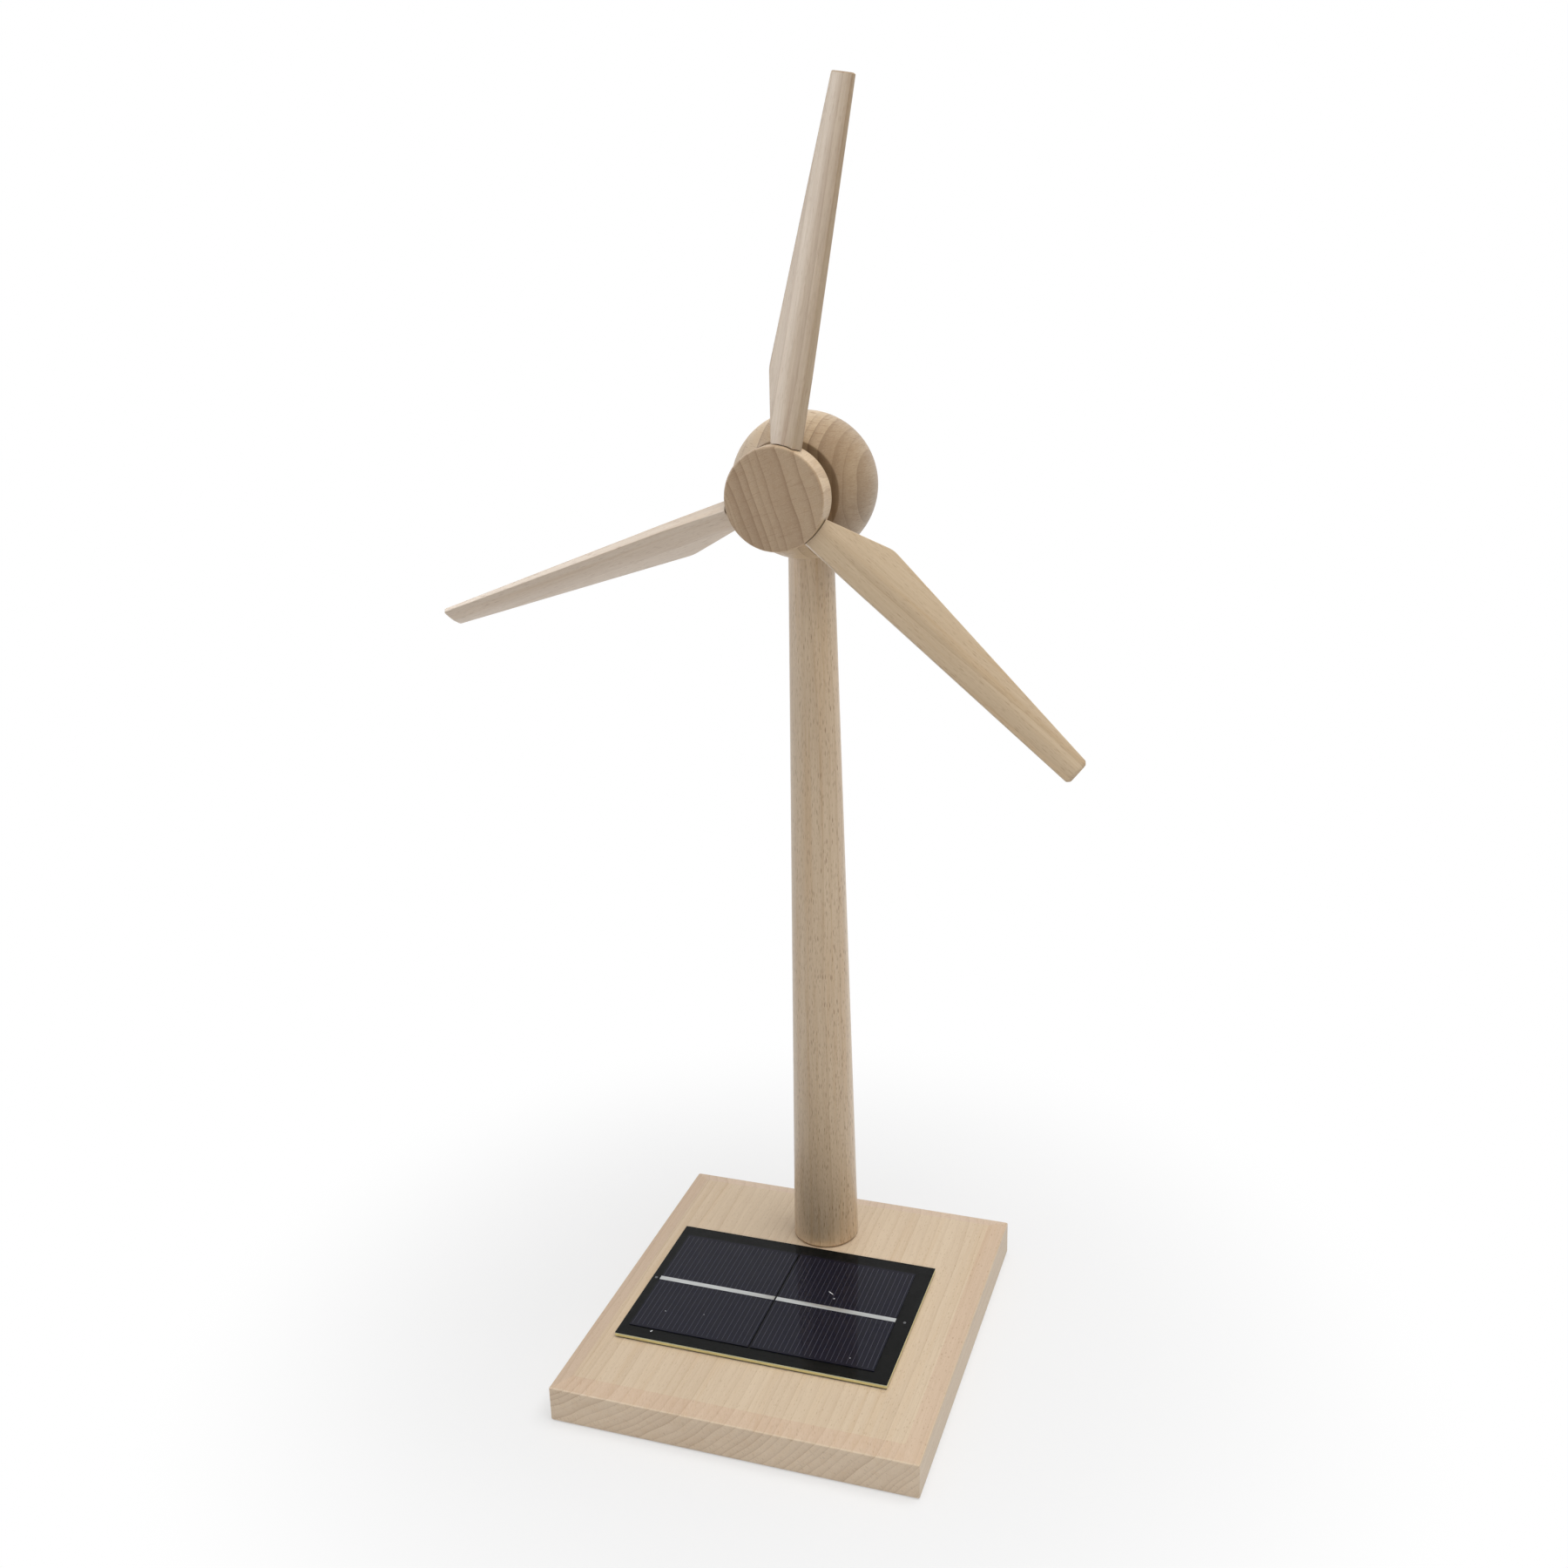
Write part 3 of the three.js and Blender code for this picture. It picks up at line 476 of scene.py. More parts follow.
def newMaterial(name):
    material = bpy.data.materials.new(name)
    material.use_nodes = True
    tree = material.node_tree
    tree.nodes.clear()
    surface = tree.nodes.new("ShaderNodeBsdfPrincipled")
    output = tree.nodes.new("ShaderNodeOutputMaterial")
    tree.links.new(surface.outputs[0], output.inputs["Surface"])
    return material, tree, surface


# Levels of 0 to 255, as a picture has them, made linear
def linear(red, green, blue):
    def one(value):
        share = value / 255
        return share / 12.92 if share <= 0.04045 else ((share + 0.055) / 1.055) ** 2.4
    return (one(red), one(green), one(blue), 1)


def setSockets(surface, values):
    for label, value in values.items():
        surface.inputs[label].default_value = value


def joinSurface(tree, outputs, surface):
    for label in ("Color", "Roughness", "Normal"):
        tree.links.new(outputs[label], surface.inputs["Base Color" if label == "Color" else label])


# Values named as ringSpacing stand for the group's input Ring Spacing
woodValues = {
    "light": (200, 176, 146), "dark": (172, 144, 112), "fleck": (126, 88, 54), "warm": (255, 244, 226),
    "endTint": (0.84, 0.8, 0.77), "specular": 0.5, "coat": 0.75, "coatRoughness": 0.32,
}
woodSockets = {"specular": "Specular IOR Level", "coat": "Coat Weight", "coatRoughness": "Coat Roughness"}


# grain points along the wood, pith is a point on the tree's heart line, both in the object's frame
def woodMaterial(name, grain, pith, centre, **changes):
    along = Vector(grain).normalized()
    out = Vector(centre) - Vector(pith)
    out = out - along * out.dot(along)
    distance = out.length
    out.normalize()
    turn = Matrix((out, along.cross(out), along))
    material, tree, surface = newMaterial(name)
    texture = addNode(tree, "ShaderNodeTexCoord").outputs
    mapping = addNode(tree, "ShaderNodeMapping", {
        "Vector": texture["Object"], "Location": -(turn @ Vector(pith)), "Rotation": turn.to_euler("XYZ"),
        "Scale": (1 / mm, 1 / mm, 1 / mm),
    }, vector_type="POINT")
    facing = calc(tree, "ABSOLUTE", calcVector(tree, "DOT_PRODUCT", texture["Normal"], tuple(along)))
    endShare = spread(tree, facing, grainValues["endFrom"], grainValues["endTo"])
    inputs = {"Vector": mapping.outputs[0], "End Share": endShare, "Pith Distance": distance}
    for key, value in dict(woodValues, **changes).items():
        label = "".join(" " + letter if letter.isupper() else letter for letter in key).title()
        if key in woodSockets:
            surface.inputs[woodSockets[key]].default_value = value
        elif key == "endTint":
            inputs[label] = tuple(value) + (1,)
        else:
            inputs[label] = linear(*value) if isinstance(value, tuple) else value
    group = addNode(tree, "ShaderNodeGroup", inputs, node_tree=beechTree)
    joinSurface(tree, group.outputs, surface)
    return material


def addUneven(tree, inputs):
    place = addNode(tree, "ShaderNodeTexCoord").outputs["Object"]
    return addNode(tree, "ShaderNodeGroup", dict(inputs, Vector=place), node_tree=unevenTree).outputs


# scale is per metre, change is how much the colour varies, relief is in millimetres
def plainMaterial(name, colour, roughness, metallic, scale, change, relief, sockets=None):
    material, tree, surface = newMaterial(name)
    outputs = addUneven(tree, {
        "Color": linear(*colour), "Scale": scale, "Colour Change": change, "Roughness": roughness,
        "Roughness Change": unevenValues["plainRoughnessChange"], "Relief": relief,
    })
    joinSurface(tree, outputs, surface)
    setSockets(surface, dict(sockets or {}, Metallic=metallic))
    return material


print("stage: helpers and camera")

# Board: bevelled all round, its grain runs from front to back. A round-ended groove in the underside
# joins the tower's mortise to the hole that the leads come through.

baseValues = {
    "width": 120, "depth": 130, "thickness": 14, "bevelWidth": 6, "bevelDrop": 1.6, "ease": 0.6, "edge": 0.35,
    "grooveRadius": 4.5, "grooveTop": 5, "holeLow": 4.95, "mortiseRadius": 6.3, "leadHoleRadius": 4,
    "sides": 48, "bevelTint": (0.94, 0.89, 0.89, 1), "bevelMatch": 0.02,
}


def buildBase(values):
    v = values
    x, y, t = v["width"] / 2, v["depth"] / 2, v["thickness"]
    rings = []
    for inset, z in ((v["ease"], 0), (0, v["ease"]), (0, t - v["bevelDrop"]), (v["bevelWidth"], t)):
        rings.append(fourCorners(inset - x, inset - y, x - inset, y - inset, z))
    board = softenEdges(loft("base_wood", rings), v["edge"])
    towerBack, leadHoleBack = sharedValues["towerBack"], sharedValues["leadHoleBack"]
    slot = []
    for k in range(v["sides"]):
        angle = 2 * math.pi * k / v["sides"]
        centre = towerBack if k < v["sides"] / 2 else leadHoleBack
        slot.append((
            sharedValues["side"] + v["grooveRadius"] * math.cos(angle),
            centre + v["grooveRadius"] * math.sin(angle)))
    groove = loft("groove_cutter", [[(a, b, z) for a, b in slot] for z in (-overrun, v["grooveTop"])])
    mortise = rod(v["mortiseRadius"], v["holeLow"], t + overrun)
    mortise = lathe("mortise_cutter", mortise, v["sides"], upright(towerBack))
    hole = rod(v["leadHoleRadius"], v["holeLow"], t + overrun)
    hole = lathe("hole_cutter", hole, v["sides"], upright(leadHoleBack))
    return cutOut(board, [groove, mortise, hole])


# The bevel cuts the fibres at a slant, which shows a pinker face
def tintBevel(material, values):
    v = values
    tree = material.node_tree
    colour = tree.nodes["Principled BSDF"].inputs["Base Color"]
    faceNormal = addNode(tree, "ShaderNodeTexCoord").outputs["Normal"]
    upward = addNode(tree, "ShaderNodeSeparateXYZ", {0: faceNormal}).outputs["Z"]
    bevelUp = math.cos(math.atan2(v["bevelDrop"], v["bevelWidth"]))
    slanted = calc(tree, "COMPARE", upward, bevelUp, v["bevelMatch"])
    tinted = mixColour(tree, slanted, colour.links[0].from_socket, v["bevelTint"], "MULTIPLY")
    tree.links.new(tinted, colour)


# The board's end tint, above one and bluish, is painted sheen: it lightens the front and back faces into a
# pale veil
baseWood = woodMaterial(
    "beech_board_wood", (0, 1, 0.01), (-152, 0, 165), (0, 0, 7), light=(206, 187, 161), dark=(181, 158, 131),
    endTint=(1.13, 1.13, 1.16), heartShade=0.02, coat=0.3, ringSpacing=2.3, ringStrength=0.5, fleckWidth=0.35,
    fleckLength=1.9, rayDepth=1.6, fleckShare=0.4, fleckStrength=0.3, fibreStrength=0.3, streakStrength=0.2,
    cloudStrength=0.2, seed=3.1,
)
tintBevel(baseWood, baseValues)
finish(buildBase(baseValues), "stand", "base_board", baseWood, angle=20, keepFlat=True)

# Tower: a tapered round with a tenon below and a bore for the leads

towerValues = {
    "footRadius": 11.4, "topRadius": 7.1, "top": 266, "footEase": 0.7, "tenonRadius": 6, "tenonEnd": 5.3,
    "bore": 2.5, "shoulder": 14, "sides": 128, "edgeCuts": (0, 0.4, 0, 0.2, 0.6, 0.4, 0),
}


def buildTower(values):
    v = values
    points = [
        (v["bore"], v["tenonEnd"]), (v["tenonRadius"], v["tenonEnd"]), (v["tenonRadius"], v["shoulder"]),
        (v["footRadius"] - v["footEase"], v["shoulder"]), (v["footRadius"], v["shoulder"] + v["footEase"]),
        (v["topRadius"], v["top"]), (v["bore"], v["top"]),
    ]
    profile = filleted(points, v["edgeCuts"], True)
    return lathe("tower_wood", profile, v["sides"], upright(sharedValues["towerBack"]), True)


towerWood = woodMaterial(
    "beech_tower_wood", (0.004, 0, 1), (-26, -48, 0), (-1, 40, 140), light=(212, 190, 160),
    dark=(180, 152, 119), ringSpacing=3.2, ringStrength=0.5, fleckWidth=0.42, fleckLength=3.4, rayDepth=0.9,
    fleckShare=0.7, fleckStrength=0.68, fibreStrength=0.36, streakStrength=0.4, cloudStrength=0.12, seed=11.7,
)
finish(buildTower(towerValues), "stand", "tower", towerWood, angle=30)

# Ball: flat in front, bored for the motor, with a socket for the tower

ballValues = {
    "radius": 22.5, "flatRadius": 15.9, "rimEase": 0.5, "rimSteps": 4, "bore": 12.5, "boreEase": 0.2,
    "shoulder": 0.0898, "cavityRadius": 9, "cavityBack": -8.9115, "socketRadius": 7.4, "socketTop": 266.3,
    "socketSides": 64, "leadHole": 2.5, "leadHoleDrop": 4.5, "leadHoleSides": 32, "lap": 0.05, "steps": 72,
    "sides": 160,
}


def buildBall(values):
    v = values
    flat = math.sqrt(v["radius"] ** 2 - v["flatRadius"] ** 2)
    rim = math.acos(flat / v["radius"]) + v["rimEase"] / v["radius"]
    profile = []
    for i in range(v["steps"] + 1):
        angle = math.pi + (rim - math.pi) * i / v["steps"]
        profile.append((0 if i == 0 else v["radius"] * math.sin(angle), v["radius"] * math.cos(angle)))
    edge = [profile[-1], (v["flatRadius"], flat), (v["flatRadius"] - 2 * v["rimEase"], flat)]
    profile[-1:] = filleted(edge, v["rimEase"], False, v["rimSteps"])
    profile += [
        (v["bore"] + v["boreEase"], flat), (v["bore"], flat - v["boreEase"]), (v["bore"], v["shoulder"]),
        (v["cavityRadius"], v["shoulder"]), (v["cavityRadius"], v["cavityBack"]), (0, v["cavityBack"]),
    ]
    ball = lathe("nacelle_wood", profile, v["sides"], forward)
    place = upright(sharedValues["towerBack"])
    socket = rod(v["socketRadius"], axisCentre.z - v["radius"] - overrun, v["socketTop"])
    drill = rod(v["leadHole"], v["socketTop"] - v["lap"], axisCentre.z - v["leadHoleDrop"])
    return cutOut(ball, [
        lathe("socket_cutter", socket, v["socketSides"], place),
        lathe("drill_cutter", drill, v["leadHoleSides"], place)])


# The ball's end tint is darker than end grain alone: partly painted shade from the hub over its flat front.
# Its high heart shade is partly painted shade on its right side.
ballWood = woodMaterial(
    "beech_ball_wood", (0, 1, 0), (150, 0, 275), axisCentre, light=(206, 183, 151), dark=(154, 129, 99),
    endTint=(0.69, 0.62, 0.54), ringSpacing=3.7, ringStrength=0.7, heartShade=0.6, coat=0.3, fleckWidth=0.32,
    fleckLength=4.6, rayDepth=4.5, fleckShare=0.6, fleckStrength=0.55, fibreStrength=0.3,
    streakStrength=0.2, cloudStrength=0.12, seed=5.3,
)
finish(buildBall(ballValues), "stand", "nacelle_ball", ballWood, angle=30)

# Hub: end grain faces the front, with a blind bore behind and three holes in the rim

hubValues = {
    "radius": 15.4, "back": 21.3898, "front": 29.7898, "frontEase": 0.45, "backEase": 0.4,
    "bore": 2.9, "boreEnd": 28.1898, "dowelInner": 7.9, "sides": 160,
    "edgeCuts": (0, 0, 0.2, 0.3, 0.3, 0.5, 0.5, 0),
}


# Where a blade's own frame stands: its length along Z, from the rotor's axis
def clockTurn(index):
    lean = Matrix.Rotation(math.radians(sharedValues["clockAngles"][index]), 4, "Y")
    return Matrix.Translation(axisCentre) @ lean @ Matrix.Translation((0, -sharedValues["bladePlane"], 0))


def bladeTurn(index):
    pitch = math.radians(sharedValues["pitchAngles"][index])
    return clockTurn(index) @ Matrix.Rotation(-pitch, 4, "Z")


def turnedPlace(turn):
    return lambda x, y, h: turn @ Vector((x, y, h))


def buildHub(values):
    v = values
    points = [
        (0, v["boreEnd"]), (v["bore"], v["boreEnd"]), (v["bore"], v["back"]),
        (v["radius"] - v["backEase"], v["back"]), (v["radius"], v["back"] + v["backEase"]),
        (v["radius"], v["front"] - v["frontEase"]), (v["radius"] - v["frontEase"], v["front"]),
        (0, v["front"]),
    ]
    disc = lathe("hub_wood", filleted(points, v["edgeCuts"]), v["sides"], forward)
    shape = rod(sharedValues["dowelHole"], v["dowelInner"], v["radius"] + overrun)
    holes = []
    for k in range(len(sharedValues["clockAngles"])):
        place = turnedPlace(clockTurn(k))
        holes.append(lathe(f"hub_cutter_{k}", shape, sharedValues["dowelSides"], place))
    return cutOut(disc, holes)


hubWood = woodMaterial(
    "beech_hub_wood", (0, 1, 0), (-140, 0, 232), (-1, 6, 281.5), light=(214, 190, 158), dark=(174, 145, 113),
    endTint=(0.74, 0.7, 0.67), ringSpacing=5.2, ringStrength=0.55, ringCrowding=2.5, heartShade=0.2, coat=0.3,
    fleckWidth=0.28, fleckLength=3.0, rayDepth=7.0, fleckShare=0.55, fleckStrength=0.42, fibreStrength=0.45,
    streakStrength=0.15, cloudStrength=0.15, seed=8.2, relief=0.03,
)
finish(buildHub(hubValues), "rotor", "hub_disc", hubWood, angle=30)

print("stage: board, tower, ball and hub")

# Blades: a five-sided section, its ridge in front, with one broad edge; each station gives the edges'
# reaches, the ridge's place, three heights in front and two behind

bladeValues = {
    "root": 14.1, "kink": 35.5, "tips": (115.8, 118.6, 118.7), "kinkSoft": 1.6, "cope": 15.7,
    "rootSection": (4.7, 4.7, -0.5, 1.9, 2.5, 1.5, 2.4, 2.3),
    "kinkSection": (11.2, 4.95, -2.35, 0.4, 1.85, 0.7, 1.2, 2.2),
    "tipSection": (2.95, 5.4, 0.6, 0.35, 1.1, 0.3, 0.9, 1.15),
    "edgeCuts": (0.3, 1.6, 0.3, 0.4, 0.4), "edgeSteps": 4, "tipEases": (0.35, 0.55, 0.9), "tipShare": 0.6,
    "tipCut": 0.4, "tipRun": 1, "rootSteps": 8, "kinkSteps": 4, "wingSteps": 24, "copeReach": 60,
    "copeSides": 160, "dowelStart": 10, "dowelEnd": 23.5, "middle": 60,
}


def bladeSection(radius, values):
    v = values
    made = []
    for root, kink, tip in zip(v["rootSection"], v["kinkSection"], v["tipSection"]):
        inner = (kink - root) / (v["kink"] - v["cope"])
        outer = (tip - kink) / (v["shoulder"] - v["kink"])
        off, soft = radius - v["kink"], v["kinkSoft"]
        if off <= -soft:
            made.append(kink + inner * off)
        elif off >= soft:
            made.append(kink + outer * off)
        else:
            made.append(kink + inner * off + (outer - inner) * (off + soft) ** 2 / (4 * soft))
    return made


def bladeRing(radius, inset, share, values, turn):
    broad, straight, ridge, broadFront, ridgeFront, straightFront, broadBack, straightBack = bladeSection(
        min(radius, values["shoulder"]), values)
    broad, straight = broad - inset, straight - inset
    outline = [
        (-broad, -broadFront * share), (ridge, -ridgeFront * share), (straight, -straightFront * share),
        (straight, straightBack * share), (-broad, broadBack * share),
    ]
    ring = filleted(outline, values["edgeCuts"], True, values["edgeSteps"])
    return [turn @ Vector((x, y, radius)) for x, y in ring]


def buildBlade(index, values):
    ease = values["tipEases"][index]
    v = dict(values, tip=values["tips"][index], shoulder=values["tips"][index] - ease)
    turn, kinkStart, kinkEnd = bladeTurn(index), v["kink"] - v["kinkSoft"], v["kink"] + v["kinkSoft"]
    stations = [v["root"] + k * (kinkStart - v["root"]) / v["rootSteps"] for k in range(v["rootSteps"] + 1)]
    steps = v["kinkSteps"]
    stations += [v["kink"] + v["kinkSoft"] * k / steps for k in range(1 - steps, steps + 1)]
    steps, tipStart = v["wingSteps"], v["shoulder"] - v["tipRun"]
    stations += [kinkEnd + k * (tipStart - v["kink"] - v["kinkSoft"]) / steps for k in range(1, steps + 1)]
    rings = [bladeRing(radius, 0, 1, v, turn) for radius in stations]
    corner = [(0, tipStart), (0, v["shoulder"]), (ease, v["tip"]), (ease + v["tipRun"], v["tip"])]
    for inset, radius in filleted(corner, v["tipCut"] * ease)[1:-1]:
        share = 1 - (1 - v["tipShare"]) * min(1, inset / ease)
        rings.append(bladeRing(radius, inset, share, v, turn))
    wing = loft(f"blade_wood_{index + 1}", rings)
    rim = lathe("rim_cutter", rod(v["cope"], 0, v["copeReach"]), v["copeSides"], forward)
    hole = rod(sharedValues["dowelHole"], v["dowelStart"], v["dowelEnd"])
    hole = lathe("blade_cutter", hole, sharedValues["dowelSides"], turnedPlace(turn))
    return cutOut(wing, [rim, hole])


# Each blade has its own wood colours; the second blade's are paler partly as painted light, making up for the
# light on its downward side
bladeLooks = (
    {"pith": (-30, 26), "light": (196, 174, 143), "dark": (148, 119, 88), "seed": 2.4},
    {"pith": (22, 40), "light": (209, 193, 175), "dark": (182, 162, 141), "seed": 17.9},
    {"pith": (-24, 34), "light": (203, 181, 150), "dark": (172, 146, 113), "seed": 31.6},
)
for index, look in enumerate(bladeLooks):
    turn, middle = bladeTurn(index), bladeValues["middle"]
    grain = turn.to_3x3() @ Vector((0, 0, 1))
    pith, centre = turn @ Vector((*look["pith"], middle)), turn @ Vector((0, 0, middle))
    bladeWood = woodMaterial(
        f"beech_blade_wood_{index + 1}", grain, pith, centre, light=look["light"], dark=look["dark"],
        seed=look["seed"], ringSpacing=3.0, ringStrength=0.4, fleckWidth=0.42, fleckLength=3.4, rayDepth=1.1,
        fleckShare=0.5, fleckStrength=0.36, fibreStrength=0.34, streakStrength=0.35, cloudStrength=0.14,
    )
    blade = buildBlade(index, bladeValues)
    finish(blade, "rotor", f"blade_{index + 1}", bladeWood, angle=30)

print("stage: blades")

# Motor: the pieces that show between the hub and the ball

motorValues = {
    "canRadius": 12.2, "canWall": 0.9, "canBack": 2.1898, "canFront": 14.3898, "canSides": 128,
    "canCuts": (0.1, 0.2, 0.8, 0.1, 0.1, 0.3), "canSteps": 4, "holeRadius": 1, "holeDepth": 2,
    "holeReach": 6.2, "holeSides": 32, "bushRadius": 3.0, "bushSeat": 0.3, "bushBack": 12.7898,
    "bushFront": 15.5898, "bushCut": 0.25, "bushSides": 64, "shaftRadius": 1.0, "shaftBack": -0.1102,
    "shaftFront": 27.8898, "shaftCut": 0.2, "shaftSides": 48, "sleeveRadius": 2.6, "sleeveBack": 21.3898,
    "sleeveLength": 6, "sleeveCut": 0.2, "runningGap": 0.08,
}


def buildCan(values):
    v = values
    inner, wall, seat = v["canRadius"] - v["canWall"], v["canWall"], v["bushRadius"] + v["bushSeat"]
    points = [
        (inner, v["canBack"]), (v["canRadius"], v["canBack"]), (v["canRadius"], v["canFront"]),
        (seat, v["canFront"]), (seat, v["canFront"] - wall), (inner, v["canFront"] - wall),
    ]
    profile = filleted(points, v["canCuts"], True, v["canSteps"])
    can = lathe("motor_shell", profile, v["canSides"], forward, True)
    hole = rod(v["holeRadius"], v["canFront"] - v["holeDepth"], v["canFront"] + overrun)
    holes = []
    for side in (-1, 1):
        place = lambda x, y, h, side=side: forward(x, y + side * v["holeReach"], h)
        holes.append(lathe(f"can_cutter_{side + 1}", hole, v["holeSides"], place))
    return cutOut(can, holes)


def buildBush(values):
    v = values
    inner = v["shaftRadius"] + v["runningGap"]
    profile = tube(inner, v["bushRadius"], v["bushBack"], v["bushFront"], v["bushCut"])
    return lathe("front_bush", profile, v["bushSides"], forward, True)


def buildShaft(values):
    v = values
    profile = filleted(rod(v["shaftRadius"], v["shaftBack"], v["shaftFront"]), v["shaftCut"])
    return lathe("drive_shaft", profile, v["shaftSides"], forward)


def buildSleeve(values):
    v = values
    inner, front = v["shaftRadius"] + v["runningGap"], v["sleeveBack"] + v["sleeveLength"]
    profile = tube(inner, v["sleeveRadius"], v["sleeveBack"], front, v["sleeveCut"])
    return lathe("hub_sleeve", profile, v["bushSides"], forward, True)


steelLook = plainMaterial("motor_steel", (150, 152, 155), 0.34, 1.0, 900.0, 0.2, 0.004)
shaftLook = plainMaterial("shaft_steel", (170, 172, 176), 0.22, 1.0, 1400.0, 0.15, 0.002)
bronzeLook = plainMaterial("sintered_bronze", (168, 128, 78), 0.45, 1.0, 1600.0, 0.35, 0.01)
finish(buildCan(motorValues), "stand", "motor_can", steelLook)
finish(buildBush(motorValues), "stand", "bearing_front", bronzeLook)
finish(buildShaft(motorValues), "rotor", "motor_shaft", shaftLook)
finish(buildSleeve(motorValues), "rotor", "hub_bush", bronzeLook)

# Panel: a laminate board, two cells with their ribbons, and a cast coat over them

panelValues = {
    "left": -49.4, "right": 42.6, "front": -37.5, "back": 26.0, "floor": 14.4, "boardTop": 15.6,
    "cornerRadius": 0.35, "cornerSteps": 6, "boardEase": 0.06, "solderMask": 0.08, "coatTop": 16.3,
    "coatEase": 0.25, "coatInset": 0.35, "coatSteps": 5, "coatSeat": 0.02, "cellTop": 15.85,
    "cellFront": -32.3, "cellBack": 20.7, "cellsMiddle": -4.7, "cellGap": 0.6, "cellWidth": 41.4,
    "softEdge": 0.03, "ribbonWidth": 1.9, "ribbonTop": 15.95, "solderRadius": 0.5, "solderTop": 15.85,
    "solderSteps": 6, "solderSides": 32, "leftSolder": -47.9, "rightSolder": 40.0, "fingerPitch": 1.74,
    "fingerWidth": 0.16, "fingerThickness": 0.012, "fingerMargin": 1.0, "fingerGap": 0.1,
}


def panelRing(values, inset, z):
    v = values
    radius, steps = v["cornerRadius"], v["cornerSteps"]
    x0, y0, x1, y1 = v["left"] + inset, v["front"] + inset, v["right"] - inset, v["back"] - inset
    ring = []
    for cx, cy, start in ((x1, y1, 0), (x0, y1, 90), (x0, y0, 180), (x1, y0, 270)):
        mx = cx - math.copysign(radius, cx - (x0 + x1) / 2)
        my = cy - math.copysign(radius, cy - (y0 + y1) / 2)
        for k in range(steps + 1):
            angle = math.radians(start + 90 * k / steps)
            ring.append((mx + radius * math.cos(angle), my + radius * math.sin(angle), z))
    return ring


def buildPanelBoard(values):
    v = values
    low, ease, top = v["floor"], v["boardEase"], v["boardTop"]
    heights = ((ease, low), (0, low + ease), (0, top - v["solderMask"]), (0, top))
    return loft("panel_laminate", [panelRing(v, inset, z) for inset, z in heights])


# The coat is cast round the cells, so nothing lies between them
def buildCoat(values):
    v = values
    shoulder = v["coatTop"] - v["coatEase"]
    rings = [panelRing(v, 0, v["boardTop"] - v["coatSeat"]), panelRing(v, 0, shoulder)]
    for k in range(1, v["coatSteps"] + 1):
        angle = math.pi / 2 * k / v["coatSteps"]
        inset = v["coatInset"] * (1 - math.cos(angle))
        rings.append(panelRing(v, inset, shoulder + v["coatEase"] * math.sin(angle)))
    return loft("panel_clear", rings)


# The cast coat bends no light and has no gloss of its own. Its mirror is a coat on the dark pieces
# that it wets, and lamps light what lies under it.

coatValues = {"colour": (0.97, 0.97, 0.98, 1), "scale": 40.0, "change": 0.03}
wetCoat = {"Coat Weight": 1.0, "Coat IOR": 1.175, "Coat Roughness": 0.0}


def buildCoatLook(values):
    v = values
    material, tree, surface = newMaterial("clear_cast_coat")
    outputs = addUneven(tree, {"Color": v["colour"], "Scale": v["scale"], "Colour Change": v["change"]})
    tree.links.new(outputs["Color"], surface.inputs["Base Color"])
    shadow = addNode(tree, "ShaderNodeLightPath").outputs["Is Shadow Ray"]
    tree.links.new(calc(tree, "SUBTRACT", 1.0, shadow), surface.inputs["Alpha"])
    setSockets(surface, {"Roughness": 0, "Transmission Weight": 1, "IOR": 1})
    return material


# The laminate is dark on its faces and yellow at its cut edge, with a paler line along the edge's top

boardValues = {
    "core": (240, 226, 160), "line": (222, 230, 206), "mask": (5, 6, 5), "lineWidth": 0.3,
    "maskFrom": 0.6, "maskTo": 0.9, "specular": 0.05, "coatIor": 1.125,
    "uneven": {
        "Scale": 1500.0, "Colour Change": 0.25, "Roughness": 0.55, "Roughness Change": 0.3, "Relief": 0.01,
    },
}


def buildBoardLook(values):
    v = values
    material, tree, surface = newMaterial("glass_laminate")
    place = addNode(tree, "ShaderNodeTexCoord").outputs["Object"]
    height = addNode(tree, "ShaderNodeSeparateXYZ", {0: place}).outputs["Z"]
    lineLow = panelValues["boardTop"] * mm - v["lineWidth"] * mm
    edge = calc(tree, "GREATER_THAN", height, lineLow)
    core = mixColour(tree, edge, linear(*v["core"]), linear(*v["line"]))
    normal = addNode(tree, "ShaderNodeNewGeometry").outputs["Normal"]
    level = calc(tree, "ABSOLUTE", addNode(tree, "ShaderNodeSeparateXYZ", {0: normal}).outputs["Z"])
    masked = spread(tree, level, v["maskFrom"], v["maskTo"])
    colour = mixColour(tree, masked, core, linear(*v["mask"]))
    joinSurface(tree, addUneven(tree, dict(v["uneven"], Color=colour)), surface)
    setSockets(surface, dict(wetCoat, **{"Coat IOR": v["coatIor"], "Specular IOR Level": v["specular"]}))
    return material


boardLook, coatLook = buildBoardLook(boardValues), buildCoatLook(coatValues)
finish(buildPanelBoard(panelValues), "stand", "panel_board", boardLook, keepFlat=True)
finish(
    buildCoat(panelValues), "stand", "panel_coat", coatLook, angle=30, keepFlat=True)

siliconLook = plainMaterial(
    "silicon_cell", (8, 8, 20), 0.5, 0.0, 420.0, 0.25, 0.0, dict(wetCoat, **{"Specular IOR Level": 0.05}))
fingerLook = plainMaterial(
    "silver_finger", (50, 50, 60), 0.6, 0.0, 1500.0, 0.2, 0.0, dict(wetCoat, **{"Specular IOR Level": 0.1}))
tinLook = plainMaterial("tinned_ribbon", (186, 188, 186), 0.42, 0.9, 700.0, 0.15, 0.004)
solderLook = plainMaterial("dull_solder", (112, 114, 116), 0.5, 0.9, 900.0, 0.2, 0.01)
speckLook = plainMaterial("coat_speck", (196, 198, 198), 0.6, 0.0, 900.0, 0.2, 0.004)


